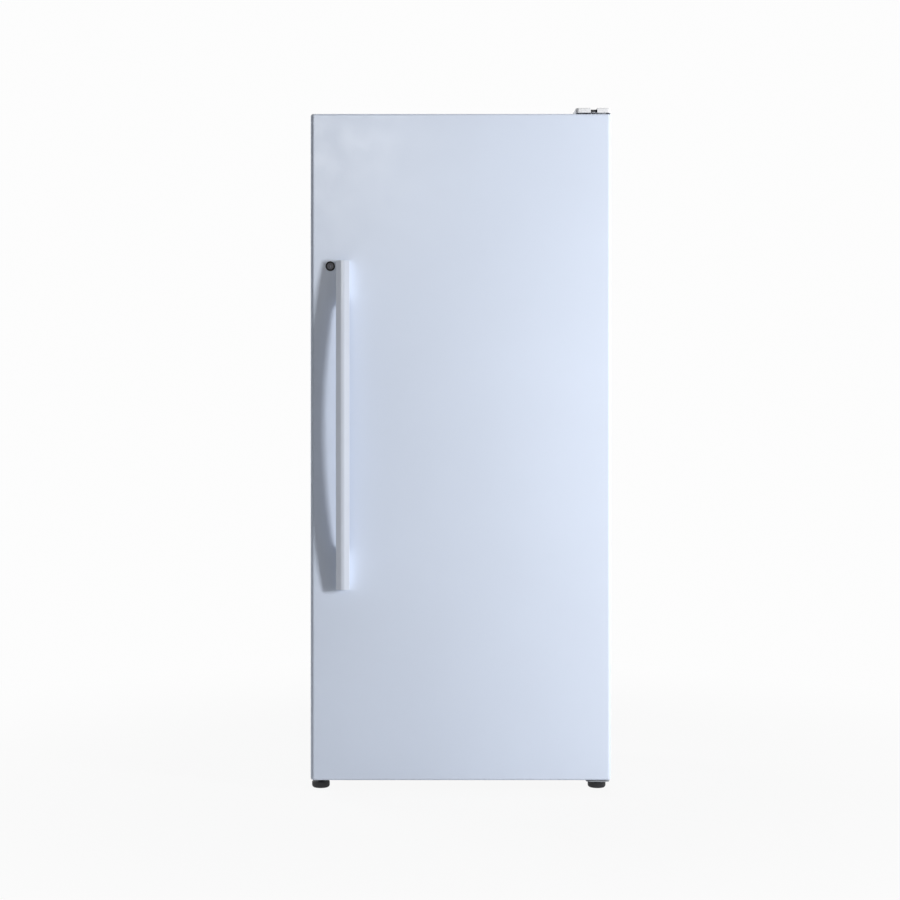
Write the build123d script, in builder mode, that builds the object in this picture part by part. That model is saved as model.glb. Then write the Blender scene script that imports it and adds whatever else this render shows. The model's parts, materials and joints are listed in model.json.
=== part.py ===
from build123d import *
import os
from math import asin, degrees, sqrt

# Upright refrigerator with one door, in millimetres. X runs across the front from left to
# right, Y runs from the front to the back, so the door faces -Y, and Z is up from the floor.
# The origin lies on the floor, in the middle of the whole depth, handle included.

os.makedirs("parts", exist_ok=True)

# Cabinet and door, outside
width = 813.0
door_height = 1801.5
door_floor_gap = 39.5
door_thickness = 62.0
door_side_radius = 14.0
door_end_radius = 6.0
door_gap = 10.0
cabinet_depth = 595.0
cabinet_corner = 8.0
top_step = 3.5
base_clearance = 42.5
rail_height = 24.0

# Handle
handle_reach = 57.0
handle_end_reach = 28.0
handle_width = 36.0
handle_face_width = 10.0
handle_crown = 0.5
handle_flank = 4.5
handle_thickness = 17.0
handle_palm_radius = 5.0
handle_bottom = 556.5
handle_length = 885.0
finger_opening = 700.0
finger_fillet = 45.0
handle_from_edge = 87.5

# Walls, sheets and clearances
sheet = 0.8
liner_wall = 1.6
side_wall = 66.0
top_wall = 62.0
floor_wall = 45.0
back_wall = 62.0
bond_gap = 0.2
fit_gap = 0.3
pin_fit = 0.05
overcut = 1.0

# Machine space at the bottom of the back, and the step that it makes inside
machine_depth = 270.0
machine_height = 215.0
hump_wall = 50.0
cavity_corner = 16.0
cavity_side_radius = 10.0

# Hinges
hinge_inset = 22.5
hinge_setback = 29.0
hinge_pin_radius = 5.0
hinge_pin_reach = 22.0
bush_wall = 3.0
bush_flange = 2.0
hinge_plate = 3.0
bracket_gauge = 3.5
bracket_drop = 5.5

# Faces and levels that the sizes above give
total_depth = handle_reach + door_thickness + door_gap + cabinet_depth
door_front = handle_reach - total_depth / 2
door_back = door_front + door_thickness
cabinet_front = door_back + door_gap
cabinet_back = cabinet_front + cabinet_depth
half_width = width / 2
handle_x = handle_from_edge - half_width
handle_top = handle_bottom + handle_length
door_top = door_floor_gap + door_height
door_middle = door_floor_gap + door_height / 2
cabinet_top = door_top + top_step
foam_base = base_clearance + rail_height
cavity_half = half_width - side_wall
cavity_top = cabinet_top - top_wall
cavity_floor = foam_base + floor_wall
cavity_back = cabinet_back - back_wall
machine_front = cabinet_back - machine_depth
machine_top = foam_base + machine_height
hump_front = machine_front - hump_wall
hump_top = machine_top + hump_wall
frame_back = cabinet_front + sheet
hinge_x = half_width - hinge_inset
hinge_y = door_back - hinge_setback
bracket_low = door_floor_gap - bracket_drop


def facing_front(y):
    """A sketch plane at depth y, with X across and Z up, that looks to the front."""
    return Plane(origin=(0, y, 0), x_dir=(1, 0, 0), z_dir=(0, -1, 0))


def facing_back(y):
    """A sketch plane at depth y, with -X across and Z up, that looks to the back."""
    return Plane(origin=(0, y, 0), x_dir=(-1, 0, 0), z_dir=(0, 1, 0))


def facing_right(x):
    """A sketch plane at x, with Y across and Z up, that looks to the right."""
    return Plane(origin=(x, 0, 0), x_dir=(0, 1, 0), z_dir=(1, 0, 0))


def save(piece, name):
    """Label a finished piece and write it under its own name."""
    piece.label = name
    export_step(piece, "parts/" + name + ".step")


# Lock: the turning core's tail lever hooks behind the cabinet's front frame
lock_from_edge = 53.5
lock_below_handle_top = 13.0
lock_core_radius = 8.0
lock_barrel_radius = 10.0
lock_barrel_length = 30.0
lock_bezel_radius = 13.0
lock_bezel_proud = 3.0
lock_bezel_edge = 1.0
lock_face_step = 0.6
key_slot_width = 1.8
key_slot_height = 8.0
key_slot_depth = 10.0
tail_radius = 4.0
tail_clearance = 1.0
lever_length = 16.0
lever_width = 6.0
lever_gauge = 3.0
lever_setback = 3.5
strike_wall = 1.6
strike_depth = 16.0
strike_margin = 3.0
strike_inner_margin = 6.0
lock_x = lock_from_edge - half_width
lock_z = handle_top - lock_below_handle_top

# The slot that the lever passes through while it points up, and the box around its swing
slot_left = lock_x - strike_margin - lever_width / 2
slot_right = lock_x + strike_margin + lever_width / 2 - overcut
slot_low = lock_z - strike_inner_margin
slot_high = lock_z + lever_length + strike_margin
strike_left = lock_x - lever_length - strike_margin - strike_wall
strike_right = slot_right + strike_wall
strike_low = slot_low - strike_wall
strike_high = slot_high + strike_wall


def span(low_x, high_x, low_z, high_z):
    """A rectangle in the present sketch between two corners."""
    with Locations(((low_x + high_x) / 2, (low_z + high_z) / 2)):
        return Rectangle(high_x - low_x, high_z - low_z)


def span_cut(low_x, high_x, low_z, high_z):
    """The same rectangle, taken away from the present sketch."""
    with Locations(((low_x + high_x) / 2, (low_z + high_z) / 2)):
        return Rectangle(high_x - low_x, high_z - low_z, mode=Mode.SUBTRACT)


# Steel wrapper: left side, top and right side in one bend, with the front frame turned in
cabinet_height = cabinet_top - base_clearance
with BuildPart() as cabinet_shell:
    with BuildSketch(facing_back(cabinet_front)) as wrapper_outline:
        span(-half_width, half_width, base_clearance, cabinet_top)
        fillet(wrapper_outline.vertices().group_by(Axis.Y)[-1], radius=cabinet_corner)
    extrude(amount=cabinet_depth)
    with BuildSketch(facing_back(frame_back)) as wrapper_inside:
        span(
            sheet - half_width,
            half_width - sheet,
            base_clearance - overcut,
            cabinet_top - sheet,
        )
        fillet(wrapper_inside.vertices().group_by(Axis.Y)[-1], radius=cabinet_corner - sheet)
    extrude(amount=cabinet_depth, mode=Mode.SUBTRACT)
    with BuildSketch(facing_back(cabinet_front)) as frame_opening:
        span(-cavity_half, cavity_half, cavity_floor, cavity_top)
        fillet(frame_opening.vertices(), radius=cavity_side_radius)
    extrude(amount=sheet, mode=Mode.SUBTRACT)
    with BuildSketch(facing_front(frame_back)):
        span(slot_left, slot_right, slot_low, slot_high)
    extrude(amount=sheet, mode=Mode.SUBTRACT)
save(cabinet_shell.part, "cabinet_shell")


def cavity_form(grow, front):
    """The space inside the cabinet, larger by grow at each wall, open at depth front."""
    with BuildPart() as form:
        with BuildSketch(facing_right(0)) as side:
            with BuildLine():
                Polyline(
                    (front, cavity_floor - grow),
                    (hump_front + grow, cavity_floor - grow),
                    (hump_front + grow, hump_top - grow),
                    (cavity_back + grow, hump_top - grow),
                    (cavity_back + grow, cavity_top + grow),
                    (front, cavity_top + grow),
                    close=True,
                )
            make_face()
            inner_corners = side.vertices().sort_by(Axis.X)[2:]
            fillet(inner_corners, radius=cavity_corner)
        extrude(amount=cavity_half + grow, both=True)
        side_edges = form.edges().filter_by(
            lambda edge: abs(abs(edge.center().X) - cavity_half - grow) < bond_gap / 2
            and edge.center().Y > front + bond_gap
        )
        fillet(side_edges, radius=cavity_side_radius + grow)
    return form.part


# Shelves: three glass panes in moulded frames, on ledges of the liner
shelf_count = 3
shelf_first = 471.5
shelf_top_gap = 561.0
shelf_side_gap = 6.5
shelf_front_setback = 121.0
shelf_frame_height = 16.0
shelf_frame_rim = 16.0
shelf_back_gap = 6.0
glass_thickness = 4.0
glass_lap = 7.0
ledge_depth = 14.0
ledge_height = 12.0
cover_depth = 62.0
cover_front = cavity_back - cover_depth
shelf_half = cavity_half - shelf_side_gap
shelf_front = cabinet_front + shelf_front_setback
shelf_back = cover_front - shelf_back_gap
shelf_pitch = (cavity_top - shelf_top_gap - shelf_first) / (shelf_count - 1)
shelf_levels = [shelf_first + shelf_pitch * n for n in range(shelf_count)]

# Drain: from the hump's top behind the evaporator cover down to the pan
drain_x = -215.0
drain_radius = 8.0
drain_wall = 1.5
drain_from_back = 36.0
drain_y = cavity_back - drain_from_back

# Basket, and the runners that carry its rim along the liner's side walls
basket_side_gap = 46.5
basket_front_setback = 35.0
basket_back_gap = 6.0
basket_bottom_gap = 12.0
basket_height = 178.0
basket_wall = 2.5
basket_corner = 22.0
basket_rim_width = 30.0
basket_rim_height = 5.0
basket_travel = 160.0
basket_half = cavity_half - basket_side_gap
basket_front = cabinet_front + basket_front_setback
basket_back = hump_front - basket_back_gap
basket_low = cavity_floor + basket_bottom_gap
basket_high = basket_low + basket_height
runner_top = basket_high - basket_rim_height - fit_gap
runner_reach = 32.0
runner_height = 14.0
runner_gauge = 3.0
runner_front = basket_front + runner_gauge

# Moulded liner with a rounded ledge under each shelf and a runner on each side
with BuildPart() as inner_liner:
    add(cavity_form(liner_wall, frame_back))
    add(cavity_form(0, cabinet_front), mode=Mode.SUBTRACT)
    for side in (-1, 1):
        with BuildSketch(facing_right(side * cavity_half)):
            for level in shelf_levels:
                with Locations(((shelf_front + shelf_back) / 2, level - ledge_height / 2)):
                    SlotOverall(shelf_back - shelf_front, ledge_height)
        extrude(amount=-side * ledge_depth)
        with BuildSketch(facing_back(runner_front)):
            wall_x = side * (cavity_half + liner_wall / 2)
            tip_x = side * (cavity_half - runner_reach)
            flange_x = side * (cavity_half - runner_gauge)
            span(*sorted((wall_x, tip_x)), runner_top - runner_gauge, runner_top)
            span(*sorted((wall_x, flange_x)), runner_top - runner_height, runner_top)
        extrude(amount=hump_front - cavity_side_radius - runner_front)
    with BuildSketch(Plane.XY.offset(hump_top - 2 * liner_wall)):
        with Locations((drain_x, drain_y)):
            Circle(drain_radius + fit_gap)
    extrude(amount=4 * liner_wall, mode=Mode.SUBTRACT)
save(inner_liner.part, "inner_liner")

# Back panel: a sheet with two raised stiffening beads, set a little inside the wrapper
panel_recess = 5.0
bead_height = 3.0
bead_width = 18.0
bead_from_edge = 70.0
bead_corner = 30.0
bead_taper = 30
panel_outside = cabinet_back - panel_recess
panel_inside = panel_outside - sheet
panel_half = half_width - sheet - fit_gap
bead_outer = panel_half - bead_from_edge
bead_gap = 60.0
panel_low = machine_top
panel_high = cabinet_top - sheet - fit_gap
bead_height_each = (panel_high - panel_low - 2 * bead_from_edge - bead_gap) / 2
with BuildPart() as back_panel:
    with BuildSketch(facing_back(panel_inside)) as sheet_outline:
        span(-panel_half, panel_half, panel_low, panel_high)
        fillet(sheet_outline.vertices().group_by(Axis.Y)[-1], radius=cabinet_corner - sheet)
    extrude(amount=sheet)
    for low in (panel_low + bead_from_edge, panel_high - bead_from_edge - bead_height_each):
        with BuildSketch(facing_back(panel_outside)):
            with Locations((0, low + bead_height_each / 2)):
                RectangleRounded(2 * bead_outer, bead_height_each, bead_corner)
                RectangleRounded(
                    2 * (bead_outer - bead_width),
                    bead_height_each - 2 * bead_width,
                    bead_corner - bead_width,
                    mode=Mode.SUBTRACT,
                )
        extrude(amount=bead_height, taper=bead_taper)
save(back_panel.part, "back_panel")

# Bottom panel: one sheet folded up and back over the machine space
floor_sheet = foam_base - sheet
with BuildPart() as bottom_panel:
    with BuildSketch(facing_right(0)):
        with BuildLine():
            Polyline(
                (frame_back, floor_sheet),
                (machine_front, floor_sheet),
                (machine_front, machine_top - sheet),
                (panel_inside, machine_top - sheet),
                (panel_inside, machine_top),
                (machine_front - sheet, machine_top),
                (machine_front - sheet, foam_base),
                (frame_back, foam_base),
                close=True,
            )
        make_face()
    extrude(amount=half_width - sheet - fit_gap, both=True)
    with BuildSketch(Plane.XY.offset(machine_top - 2 * sheet)):
        with Locations((drain_x, drain_y)):
            Circle(drain_radius + fit_gap)
    extrude(amount=3 * sheet, mode=Mode.SUBTRACT)
save(bottom_panel.part, "bottom_panel")

# Foamed insulation between the wrapper and the liner
with BuildPart() as cabinet_foam:
    with BuildSketch(facing_right(0)):
        with BuildLine():
            Polyline(
                (frame_back + bond_gap, foam_base + bond_gap),
                (machine_front - sheet - bond_gap, foam_base + bond_gap),
                (machine_front - sheet - bond_gap, machine_top + bond_gap),
                (panel_inside - bond_gap, machine_top + bond_gap),
                (panel_inside - bond_gap, cabinet_top - sheet - bond_gap),
                (frame_back + bond_gap, cabinet_top - sheet - bond_gap),
                close=True,
            )
        make_face()
    extrude(amount=half_width - sheet - bond_gap, both=True)
    top_edges = cabinet_foam.edges().filter_by(Axis.Y).group_by(Axis.Z)[-1]
    fillet(top_edges, radius=cabinet_corner)
    add(cavity_form(liner_wall + bond_gap, cabinet_front), mode=Mode.SUBTRACT)
    with BuildSketch(facing_back(frame_back)):
        span(-strike_right - bond_gap, -strike_left + bond_gap, strike_low - bond_gap, strike_high + bond_gap)
    extrude(amount=strike_depth + bond_gap, mode=Mode.SUBTRACT)
    with BuildSketch(Plane.XY.offset(machine_top - overcut)):
        with Locations((drain_x, drain_y)):
            Circle(drain_radius + bond_gap)
    extrude(amount=hump_wall + overcut, mode=Mode.SUBTRACT)
save(cabinet_foam.part, "cabinet_foam")

# Strike box behind the front frame: the lever enters through its slot and turns inside
with BuildPart() as lock_strike:
    with BuildSketch(facing_back(frame_back)):
        span(-strike_right, -strike_left, strike_low, strike_high)
    extrude(amount=strike_depth)
    with BuildSketch(facing_back(frame_back + strike_wall)):
        span(-slot_right, -strike_left - strike_wall, slot_low, slot_high)
    extrude(amount=strike_depth - 2 * strike_wall, mode=Mode.SUBTRACT)
    with BuildSketch(facing_back(frame_back)):
        span(-slot_right, -slot_left, slot_low, slot_high)
    extrude(amount=strike_wall, mode=Mode.SUBTRACT)
save(lock_strike.part, "lock_strike")

# Base frame: a channel under each side, a cross rail, plates for the feet and roller ears
rail_width = 52.0
rail_gauge = 2.0
rail_front_setback = 2.0
rail_back_setback = 8.0
cross_rail_depth = 40.0
foot_plate_length = 70.0
foot_plate_gauge = 4.0
foot_inset = 25.0
foot_setback = 33.0
stud_radius = 5.0
roller_radius = 25.0
roller_width = 24.0
roller_from_back = 52.0
axle_radius = 3.0
axle_head_radius = 5.5
axle_head = 1.5
ear_radius = 9.0
rail_outer = half_width - sheet - fit_gap
rail_inner = rail_outer - rail_width
rail_middle = rail_outer - rail_width / 2
rail_front = frame_back + rail_front_setback
rail_back = cabinet_back - rail_back_setback
rail_top = foam_base - sheet - fit_gap
foot_x = half_width - foot_inset
foot_y = cabinet_front + foot_setback
roller_y = cabinet_back - roller_from_back
with BuildPart() as base_frame:
    for side in (-1, 1):
        with BuildSketch(facing_back(rail_front)):
            with Locations((side * rail_middle, (base_clearance + rail_top) / 2)):
                Rectangle(rail_width, rail_top - base_clearance)
            with Locations((side * rail_middle, (base_clearance + rail_top) / 2 - rail_gauge)):
                Rectangle(
                    rail_width - 2 * rail_gauge, rail_top - base_clearance, mode=Mode.SUBTRACT
                )
        extrude(amount=rail_back - rail_front)
        with BuildSketch(Plane.XY.offset(base_clearance)):
            with Locations((side * rail_middle, rail_front + foot_plate_length / 2)):
                Rectangle(rail_width, foot_plate_length)
        extrude(amount=foot_plate_gauge)
        for wall_x in (rail_inner, rail_outer - rail_gauge):
            ear_x = wall_x if side > 0 else -wall_x - rail_gauge
            with BuildSketch(facing_right(ear_x)):
                with Locations((roller_y, roller_radius)):
                    Circle(ear_radius)
                with Locations((roller_y, base_clearance + rail_gauge)):
                    Rectangle(4 * ear_radius, 2 * rail_gauge)
                make_hull()
            extrude(amount=rail_gauge)
    with BuildSketch(facing_right(0)):
        span(rail_front, rail_front + cross_rail_depth, base_clearance, rail_top)
        span_cut(
            rail_front + rail_gauge,
            rail_front + cross_rail_depth - rail_gauge,
            base_clearance - rail_gauge,
            rail_top - rail_gauge,
        )
    extrude(amount=rail_inner + rail_gauge, both=True)
    with BuildSketch(Plane.XY.offset(base_clearance)):
        with Locations((foot_x, foot_y), (-foot_x, foot_y)):
            Circle(stud_radius + pin_fit)
    extrude(amount=foot_plate_gauge, mode=Mode.SUBTRACT)
    with BuildSketch(facing_right(0)):
        with Locations((roller_y, roller_radius)):
            Circle(axle_radius + pin_fit)
    extrude(amount=rail_outer, both=True, mode=Mode.SUBTRACT)
save(base_frame.part, "base_frame")

# Levelling feet: a black disc with a hexagon above it and a stud in the frame's plate
foot_radius = 24.5
foot_disc_height = 17.0
foot_edge = 3.0
foot_low_edge = 1.5
foot_nut_width = 17.0
foot_nut_height = 6.0
stud_top_gap = 3.0
for side, name in ((-1, "foot_left"), (1, "foot_right")):
    with BuildPart() as foot:
        with BuildSketch(Plane.XY):
            with Locations((side * foot_x, foot_y)):
                Circle(foot_radius)
        extrude(amount=foot_disc_height)
        rims = foot.edges().filter_by(GeomType.CIRCLE)
        chamfer(rims.sort_by(Axis.Z)[-1], length=foot_edge)
        chamfer(rims.sort_by(Axis.Z)[0], length=foot_low_edge)
        with BuildSketch(Plane.XY.offset(foot_disc_height)):
            with Locations((side * foot_x, foot_y)):
                RegularPolygon(foot_nut_width / 2, 6, major_radius=False)
        extrude(amount=foot_nut_height - fit_gap)
        with BuildSketch(Plane.XY.offset(foot_disc_height)):
            with Locations((side * foot_x, foot_y)):
                Circle(stud_radius)
        extrude(amount=rail_top - rail_gauge - stud_top_gap - foot_disc_height)
    save(foot.part, name)

# Rear rollers and the axles that carry them between the ears
roller_shoulder = 2.5
for side, name in ((-1, "roller_left"), (1, "roller_right")):
    with BuildPart() as roller:
        with BuildSketch(facing_right(side * rail_middle - roller_width / 2)):
            with Locations((roller_y, roller_radius)):
                Circle(roller_radius)
                Circle(axle_radius + pin_fit, mode=Mode.SUBTRACT)
        extrude(amount=roller_width)
        treads = roller.edges().filter_by(GeomType.CIRCLE).sort_by(SortBy.RADIUS)[-2:]
        chamfer(treads, length=roller_shoulder)
    save(roller.part, name)
with BuildPart() as roller_axles:
    for side in (-1, 1):
        with BuildSketch(facing_right(side * rail_middle - rail_width / 2)):
            with Locations((roller_y, roller_radius)):
                Circle(axle_radius)
        extrude(amount=rail_width)
        head_x = rail_inner - axle_head if side > 0 else -rail_inner
        with BuildSketch(facing_right(head_x)):
            with Locations((roller_y, roller_radius)):
                Circle(axle_head_radius)
        extrude(amount=axle_head)
save(roller_axles.part, "roller_axles")

# Machine deck: a tray between the rails with its front and back edges turned up
deck_clearance = 2.0
deck_gauge = 1.5
deck_lip = 12.0
deck_half = rail_inner - fit_gap
deck_front = machine_front + fit_gap
deck_back = panel_outside - fit_gap
deck_low = base_clearance + deck_clearance
deck_top = deck_low + deck_gauge
with BuildPart() as machine_deck:
    with BuildSketch(facing_right(0)):
        span(deck_front, deck_back, deck_low, deck_low + deck_lip)
        span_cut(
            deck_front + deck_gauge, deck_back - deck_gauge, deck_top, deck_low + 2 * deck_lip
        )
    extrude(amount=deck_half, both=True)
save(machine_deck.part, "machine_deck")

# Compressor: a domed can with a weld rim, on a foot plate that stands on four grommets
compressor_from_edge = 216.5
compressor_y_from_back = 127.0
compressor_radius = 75.0
compressor_height = 150.0
compressor_dome = 28.0
compressor_foot_height = 15.0
compressor_rim = 4.0
compressor_rim_height = 6.0
compressor_plate = 3.0
plate_long = 190.0
plate_wide = 120.0
grommet_radius = 10.0
grommet_neck = 5.0
grommet_pitch_x = plate_long - 3 * grommet_radius
grommet_pitch_y = plate_wide - 3 * grommet_radius
compressor_x = half_width - compressor_from_edge
compressor_y = cabinet_back - compressor_y_from_back
plate_low = deck_top + compressor_foot_height
can_low = plate_low + compressor_plate
can_top = can_low + compressor_height
rim_low = can_low + compressor_height / 2
with BuildPart() as compressor:
    with BuildSketch(facing_front(compressor_y)) as can_half:
        with Locations((compressor_x + compressor_radius / 2, can_low + compressor_height / 2)):
            Rectangle(compressor_radius, compressor_height)
        outer_corners = can_half.vertices().sort_by(Axis.X)[-2:]
        fillet(outer_corners, radius=compressor_dome)
        with Locations(
            (
                compressor_x + (compressor_radius + compressor_rim) / 2,
                rim_low + compressor_rim_height / 2,
            )
        ):
            Rectangle(compressor_radius + compressor_rim, compressor_rim_height)
    revolve(axis=Axis((compressor_x, compressor_y, 0), (0, 0, 1)))
    with BuildSketch(Plane.XY.offset(plate_low)):
        with Locations((compressor_x, compressor_y)):
            RectangleRounded(plate_long, plate_wide, grommet_radius)
            with GridLocations(grommet_pitch_x, grommet_pitch_y, 2, 2):
                Circle(grommet_neck + fit_gap, mode=Mode.SUBTRACT)
    extrude(amount=compressor_plate)
save(compressor.part, "compressor")

with BuildPart() as compressor_grommets:
    for base, radius, height in (
        (deck_top, grommet_radius, compressor_foot_height),
        (plate_low, grommet_neck, compressor_plate + grommet_neck),
    ):
        with BuildSketch(Plane.XY.offset(base)):
            with Locations((compressor_x, compressor_y)):
                with GridLocations(grommet_pitch_x, grommet_pitch_y, 2, 2):
                    Circle(radius)
        extrude(amount=height)
save(compressor_grommets.part, "compressor_grommets")

# Start relay: a small box on the can's right side
relay_depth = 26.0
relay_width = 50.0
relay_height = 60.0
relay_x = compressor_x + compressor_radius + fit_gap
with BuildPart() as start_relay:
    with BuildSketch(facing_right(relay_x)):
        with Locations((compressor_y, rim_low - relay_height / 2 - compressor_rim)):
            RectangleRounded(relay_width, relay_height, compressor_rim)
    extrude(amount=relay_depth)
save(start_relay.part, "start_relay")


def fin_pack(across, along, fin_count, bank_count):
    """Fins across the present sketch, carried by level banks of tube."""
    with GridLocations((across - fin_gauge) / (fin_count - 1), along, fin_count, 1):
        Rectangle(fin_gauge, along)
    with GridLocations(across, along / bank_count, 1, bank_count):
        Rectangle(across, tube_gauge)


# Condenser: upright fins in the fan's draught, with three levels of tube
condenser_side_gap = 21.4
condenser_length = 190.0
condenser_across = 130.0
condenser_tall = 110.0
condenser_fins = 11
condenser_banks = 3
condenser_from_back = 175.0
fin_gauge = 1.0
tube_gauge = 6.0
condenser_left = condenser_side_gap - rail_inner
condenser_y = cabinet_back - condenser_from_back
pan_height = 32.0
pan_wall = 2.0
condenser_low = deck_top + pan_height + fit_gap
shroud_gap = 14.0
shroud_x = condenser_left + condenser_length + shroud_gap
with BuildPart() as condenser_coil:
    with BuildSketch(facing_right(condenser_left)):
        with Locations((condenser_y, condenser_low + condenser_tall / 2)):
            fin_pack(condenser_across, condenser_tall, condenser_fins, condenser_banks)
    extrude(amount=condenser_length)
save(condenser_coil.part, "condenser_coil")

# Drain pan on the deck, under the condenser and the drain tube
pan_lap = 10.0
pan_front_gap = 6.0
pan_corner = 14.0
pan_left = condenser_left - pan_lap
pan_length = shroud_x - fit_gap - pan_left
pan_front = machine_front + pan_front_gap
pan_depth = deck_back - deck_gauge - pan_front_gap - pan_front
with BuildPart() as drain_pan:
    with BuildSketch(Plane.XY.offset(deck_top)):
        with Locations((pan_left + pan_length / 2, pan_front + pan_depth / 2)):
            RectangleRounded(pan_length, pan_depth, pan_corner)
    extrude(amount=pan_height)
    pan_top = drain_pan.faces().sort_by(Axis.Z)[-1]
    offset(amount=-pan_wall, openings=pan_top)
save(drain_pan.part, "drain_pan")

# Drain tube: a funnel in the liner's floor behind the evaporator cover, straight down
funnel_radius = 16.0
funnel_height = 3.0
drain_end = deck_top + pan_height / 2
with BuildPart() as drain_tube:
    with BuildSketch(Plane.XY.offset(drain_end)):
        with Locations((drain_x, drain_y)):
            Circle(drain_radius)
    extrude(amount=hump_top - drain_end)
    with BuildSketch(Plane.XY.offset(hump_top)):
        with Locations((drain_x, drain_y)):
            Circle(funnel_radius)
    extrude(amount=funnel_height)
    with BuildSketch(Plane.XY.offset(drain_end)):
        with Locations((drain_x, drain_y)):
            Circle(drain_radius - drain_wall)
    extrude(amount=hump_top + funnel_height - drain_end, mode=Mode.SUBTRACT)
save(drain_tube.part, "drain_tube")


# Fan blades: chords as shares of the blade's radius, and the twist from root to tip
root_chord_share = 0.38
tip_chord_share = 0.53
root_pitch = 48
tip_pitch = 24
blade_gauge = 2.0


def fan_form(blade_radius, hub_radius, hub_height, blade_count, shaft_radius):
    """An axial fan about the Z axis: a bored hub with blades that twist from root to tip."""
    with BuildPart() as blade:
        for reach, chord_share, pitch in (
            (hub_radius - blade_gauge, root_chord_share, root_pitch),
            (blade_radius, tip_chord_share, tip_pitch),
        ):
            station = Plane(origin=(reach, 0, hub_height / 2), x_dir=(0, 1, 0), z_dir=(1, 0, 0))
            with BuildSketch(station):
                Rectangle(chord_share * blade_radius, blade_gauge, rotation=pitch)
        loft(ruled=True)
    with BuildPart() as fan:
        Cylinder(hub_radius, hub_height, align=(Align.CENTER, Align.CENTER, Align.MIN))
        fillet(fan.edges().sort_by(Axis.Z)[-1], radius=blade_gauge)
        with PolarLocations(0, blade_count):
            add(blade.part)
        Cylinder(
            shaft_radius + pin_fit,
            hub_height,
            align=(Align.CENTER, Align.CENTER, Align.MIN),
            mode=Mode.SUBTRACT,
        )
    return fan.part


# Condenser fan: motor on three arms of a shroud, blowing along X over the compressor
fan_shaft_radius = 2.5
condenser_fan_radius = 52.0
condenser_hub_radius = 16.0
condenser_hub_height = 18.0
condenser_blade_count = 5
shroud_gauge = 2.0
shroud_side = 140.0
shroud_ring = 4.0
fan_tip_gap = 4.0
motor_radius = 22.0
motor_length = 30.0
motor_gap = 6.0
arm_width = 8.0
arm_count = 3
fan_z = deck_top + shroud_side / 2
condenser_fan_x = shroud_x + shroud_gauge + motor_gap
motor_x = condenser_fan_x + condenser_hub_height + motor_gap
with BuildPart() as condenser_fan_shroud:
    with BuildSketch(facing_right(shroud_x)):
        with Locations((condenser_y, fan_z)):
            RectangleRounded(shroud_side, shroud_side, arm_width)
            Circle(condenser_fan_radius + fan_tip_gap, mode=Mode.SUBTRACT)
    extrude(amount=shroud_gauge)
    with BuildSketch(facing_right(shroud_x)):
        with Locations((condenser_y, fan_z)):
            Circle(condenser_fan_radius + fan_tip_gap + shroud_ring)
            Circle(condenser_fan_radius + fan_tip_gap, mode=Mode.SUBTRACT)
    extrude(amount=motor_x - shroud_x)
    with BuildSketch(facing_right(motor_x)):
        with Locations((condenser_y, fan_z)):
            Circle(motor_radius + shroud_ring)
            for arm in range(arm_count):
                Rectangle(
                    condenser_fan_radius + fan_tip_gap + shroud_ring,
                    arm_width,
                    rotation=90 + 360 / arm_count * arm,
                    align=(Align.MIN, Align.CENTER),
                )
            Circle(motor_radius + fit_gap, mode=Mode.SUBTRACT)
    extrude(amount=shroud_gauge)
save(condenser_fan_shroud.part, "condenser_fan_shroud")

with BuildPart() as condenser_fan_motor:
    with BuildSketch(facing_right(motor_x)):
        with Locations((condenser_y, fan_z)):
            Circle(motor_radius)
    extrude(amount=motor_length)
    chamfer(condenser_fan_motor.edges().sort_by(Axis.X)[-1], length=shroud_ring)
    with BuildSketch(facing_right(condenser_fan_x)):
        with Locations((condenser_y, fan_z)):
            Circle(fan_shaft_radius)
    extrude(amount=motor_x - condenser_fan_x)
save(condenser_fan_motor.part, "condenser_fan_motor")

condenser_fan_place = Location(facing_right(condenser_fan_x)) * Location((condenser_y, fan_z, 0))
with BuildPart() as condenser_fan:
    add(
        fan_form(
            condenser_fan_radius,
            condenser_hub_radius,
            condenser_hub_height,
            condenser_blade_count,
            fan_shaft_radius,
        ).moved(condenser_fan_place)
    )
save(condenser_fan.part, "condenser_fan")

# Refrigerant lines: discharge to the condenser, suction up into the insulation, and the
# filter drier, a copper cartridge clipped under the machine space's ceiling
drier_radius = 10.0
drier_length = 90.0
drier_x = 0.0
line_radius = 3.5
line_bend = 18.0
line_z = can_top - compressor_dome - 2 * line_radius
line_from_wall = 24.0
suction_y = machine_front + line_from_wall
discharge_y = cabinet_back - line_from_wall
condenser_end = condenser_left + condenser_length
with BuildPart() as refrigerant_lines:
    with BuildLine() as discharge_route:
        FilletPolyline(
            (compressor_x, compressor_y + compressor_radius + fit_gap, line_z),
            (compressor_x, discharge_y, line_z),
            (condenser_end - line_bend, discharge_y, line_z),
            (condenser_end - line_bend, condenser_y + condenser_across / 2 + fit_gap, line_z),
            radius=line_bend,
        )
    with BuildSketch(Plane(origin=discharge_route.line @ 0, z_dir=discharge_route.line % 0)):
        Circle(line_radius)
    sweep(path=discharge_route.line)
    with BuildLine() as suction_route:
        FilletPolyline(
            (compressor_x, compressor_y - compressor_radius - fit_gap, line_z),
            (compressor_x, suction_y, line_z),
            (compressor_x, suction_y, machine_top - sheet),
            radius=line_bend,
        )
    with BuildSketch(Plane(origin=suction_route.line @ 0, z_dir=suction_route.line % 0)):
        Circle(line_radius)
    sweep(path=suction_route.line)
    with BuildSketch(facing_right(drier_x)):
        with Locations((suction_y, machine_top - sheet - drier_radius - fit_gap)):
            Circle(drier_radius)
    extrude(amount=drier_length)
    drier_ends = refrigerant_lines.edges().filter_by(
        lambda edge: edge.geom_type == GeomType.CIRCLE and abs(edge.radius - drier_radius) < bond_gap
    )
    chamfer(drier_ends, length=drier_radius / 2)
save(refrigerant_lines.part, "refrigerant_lines")

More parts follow.
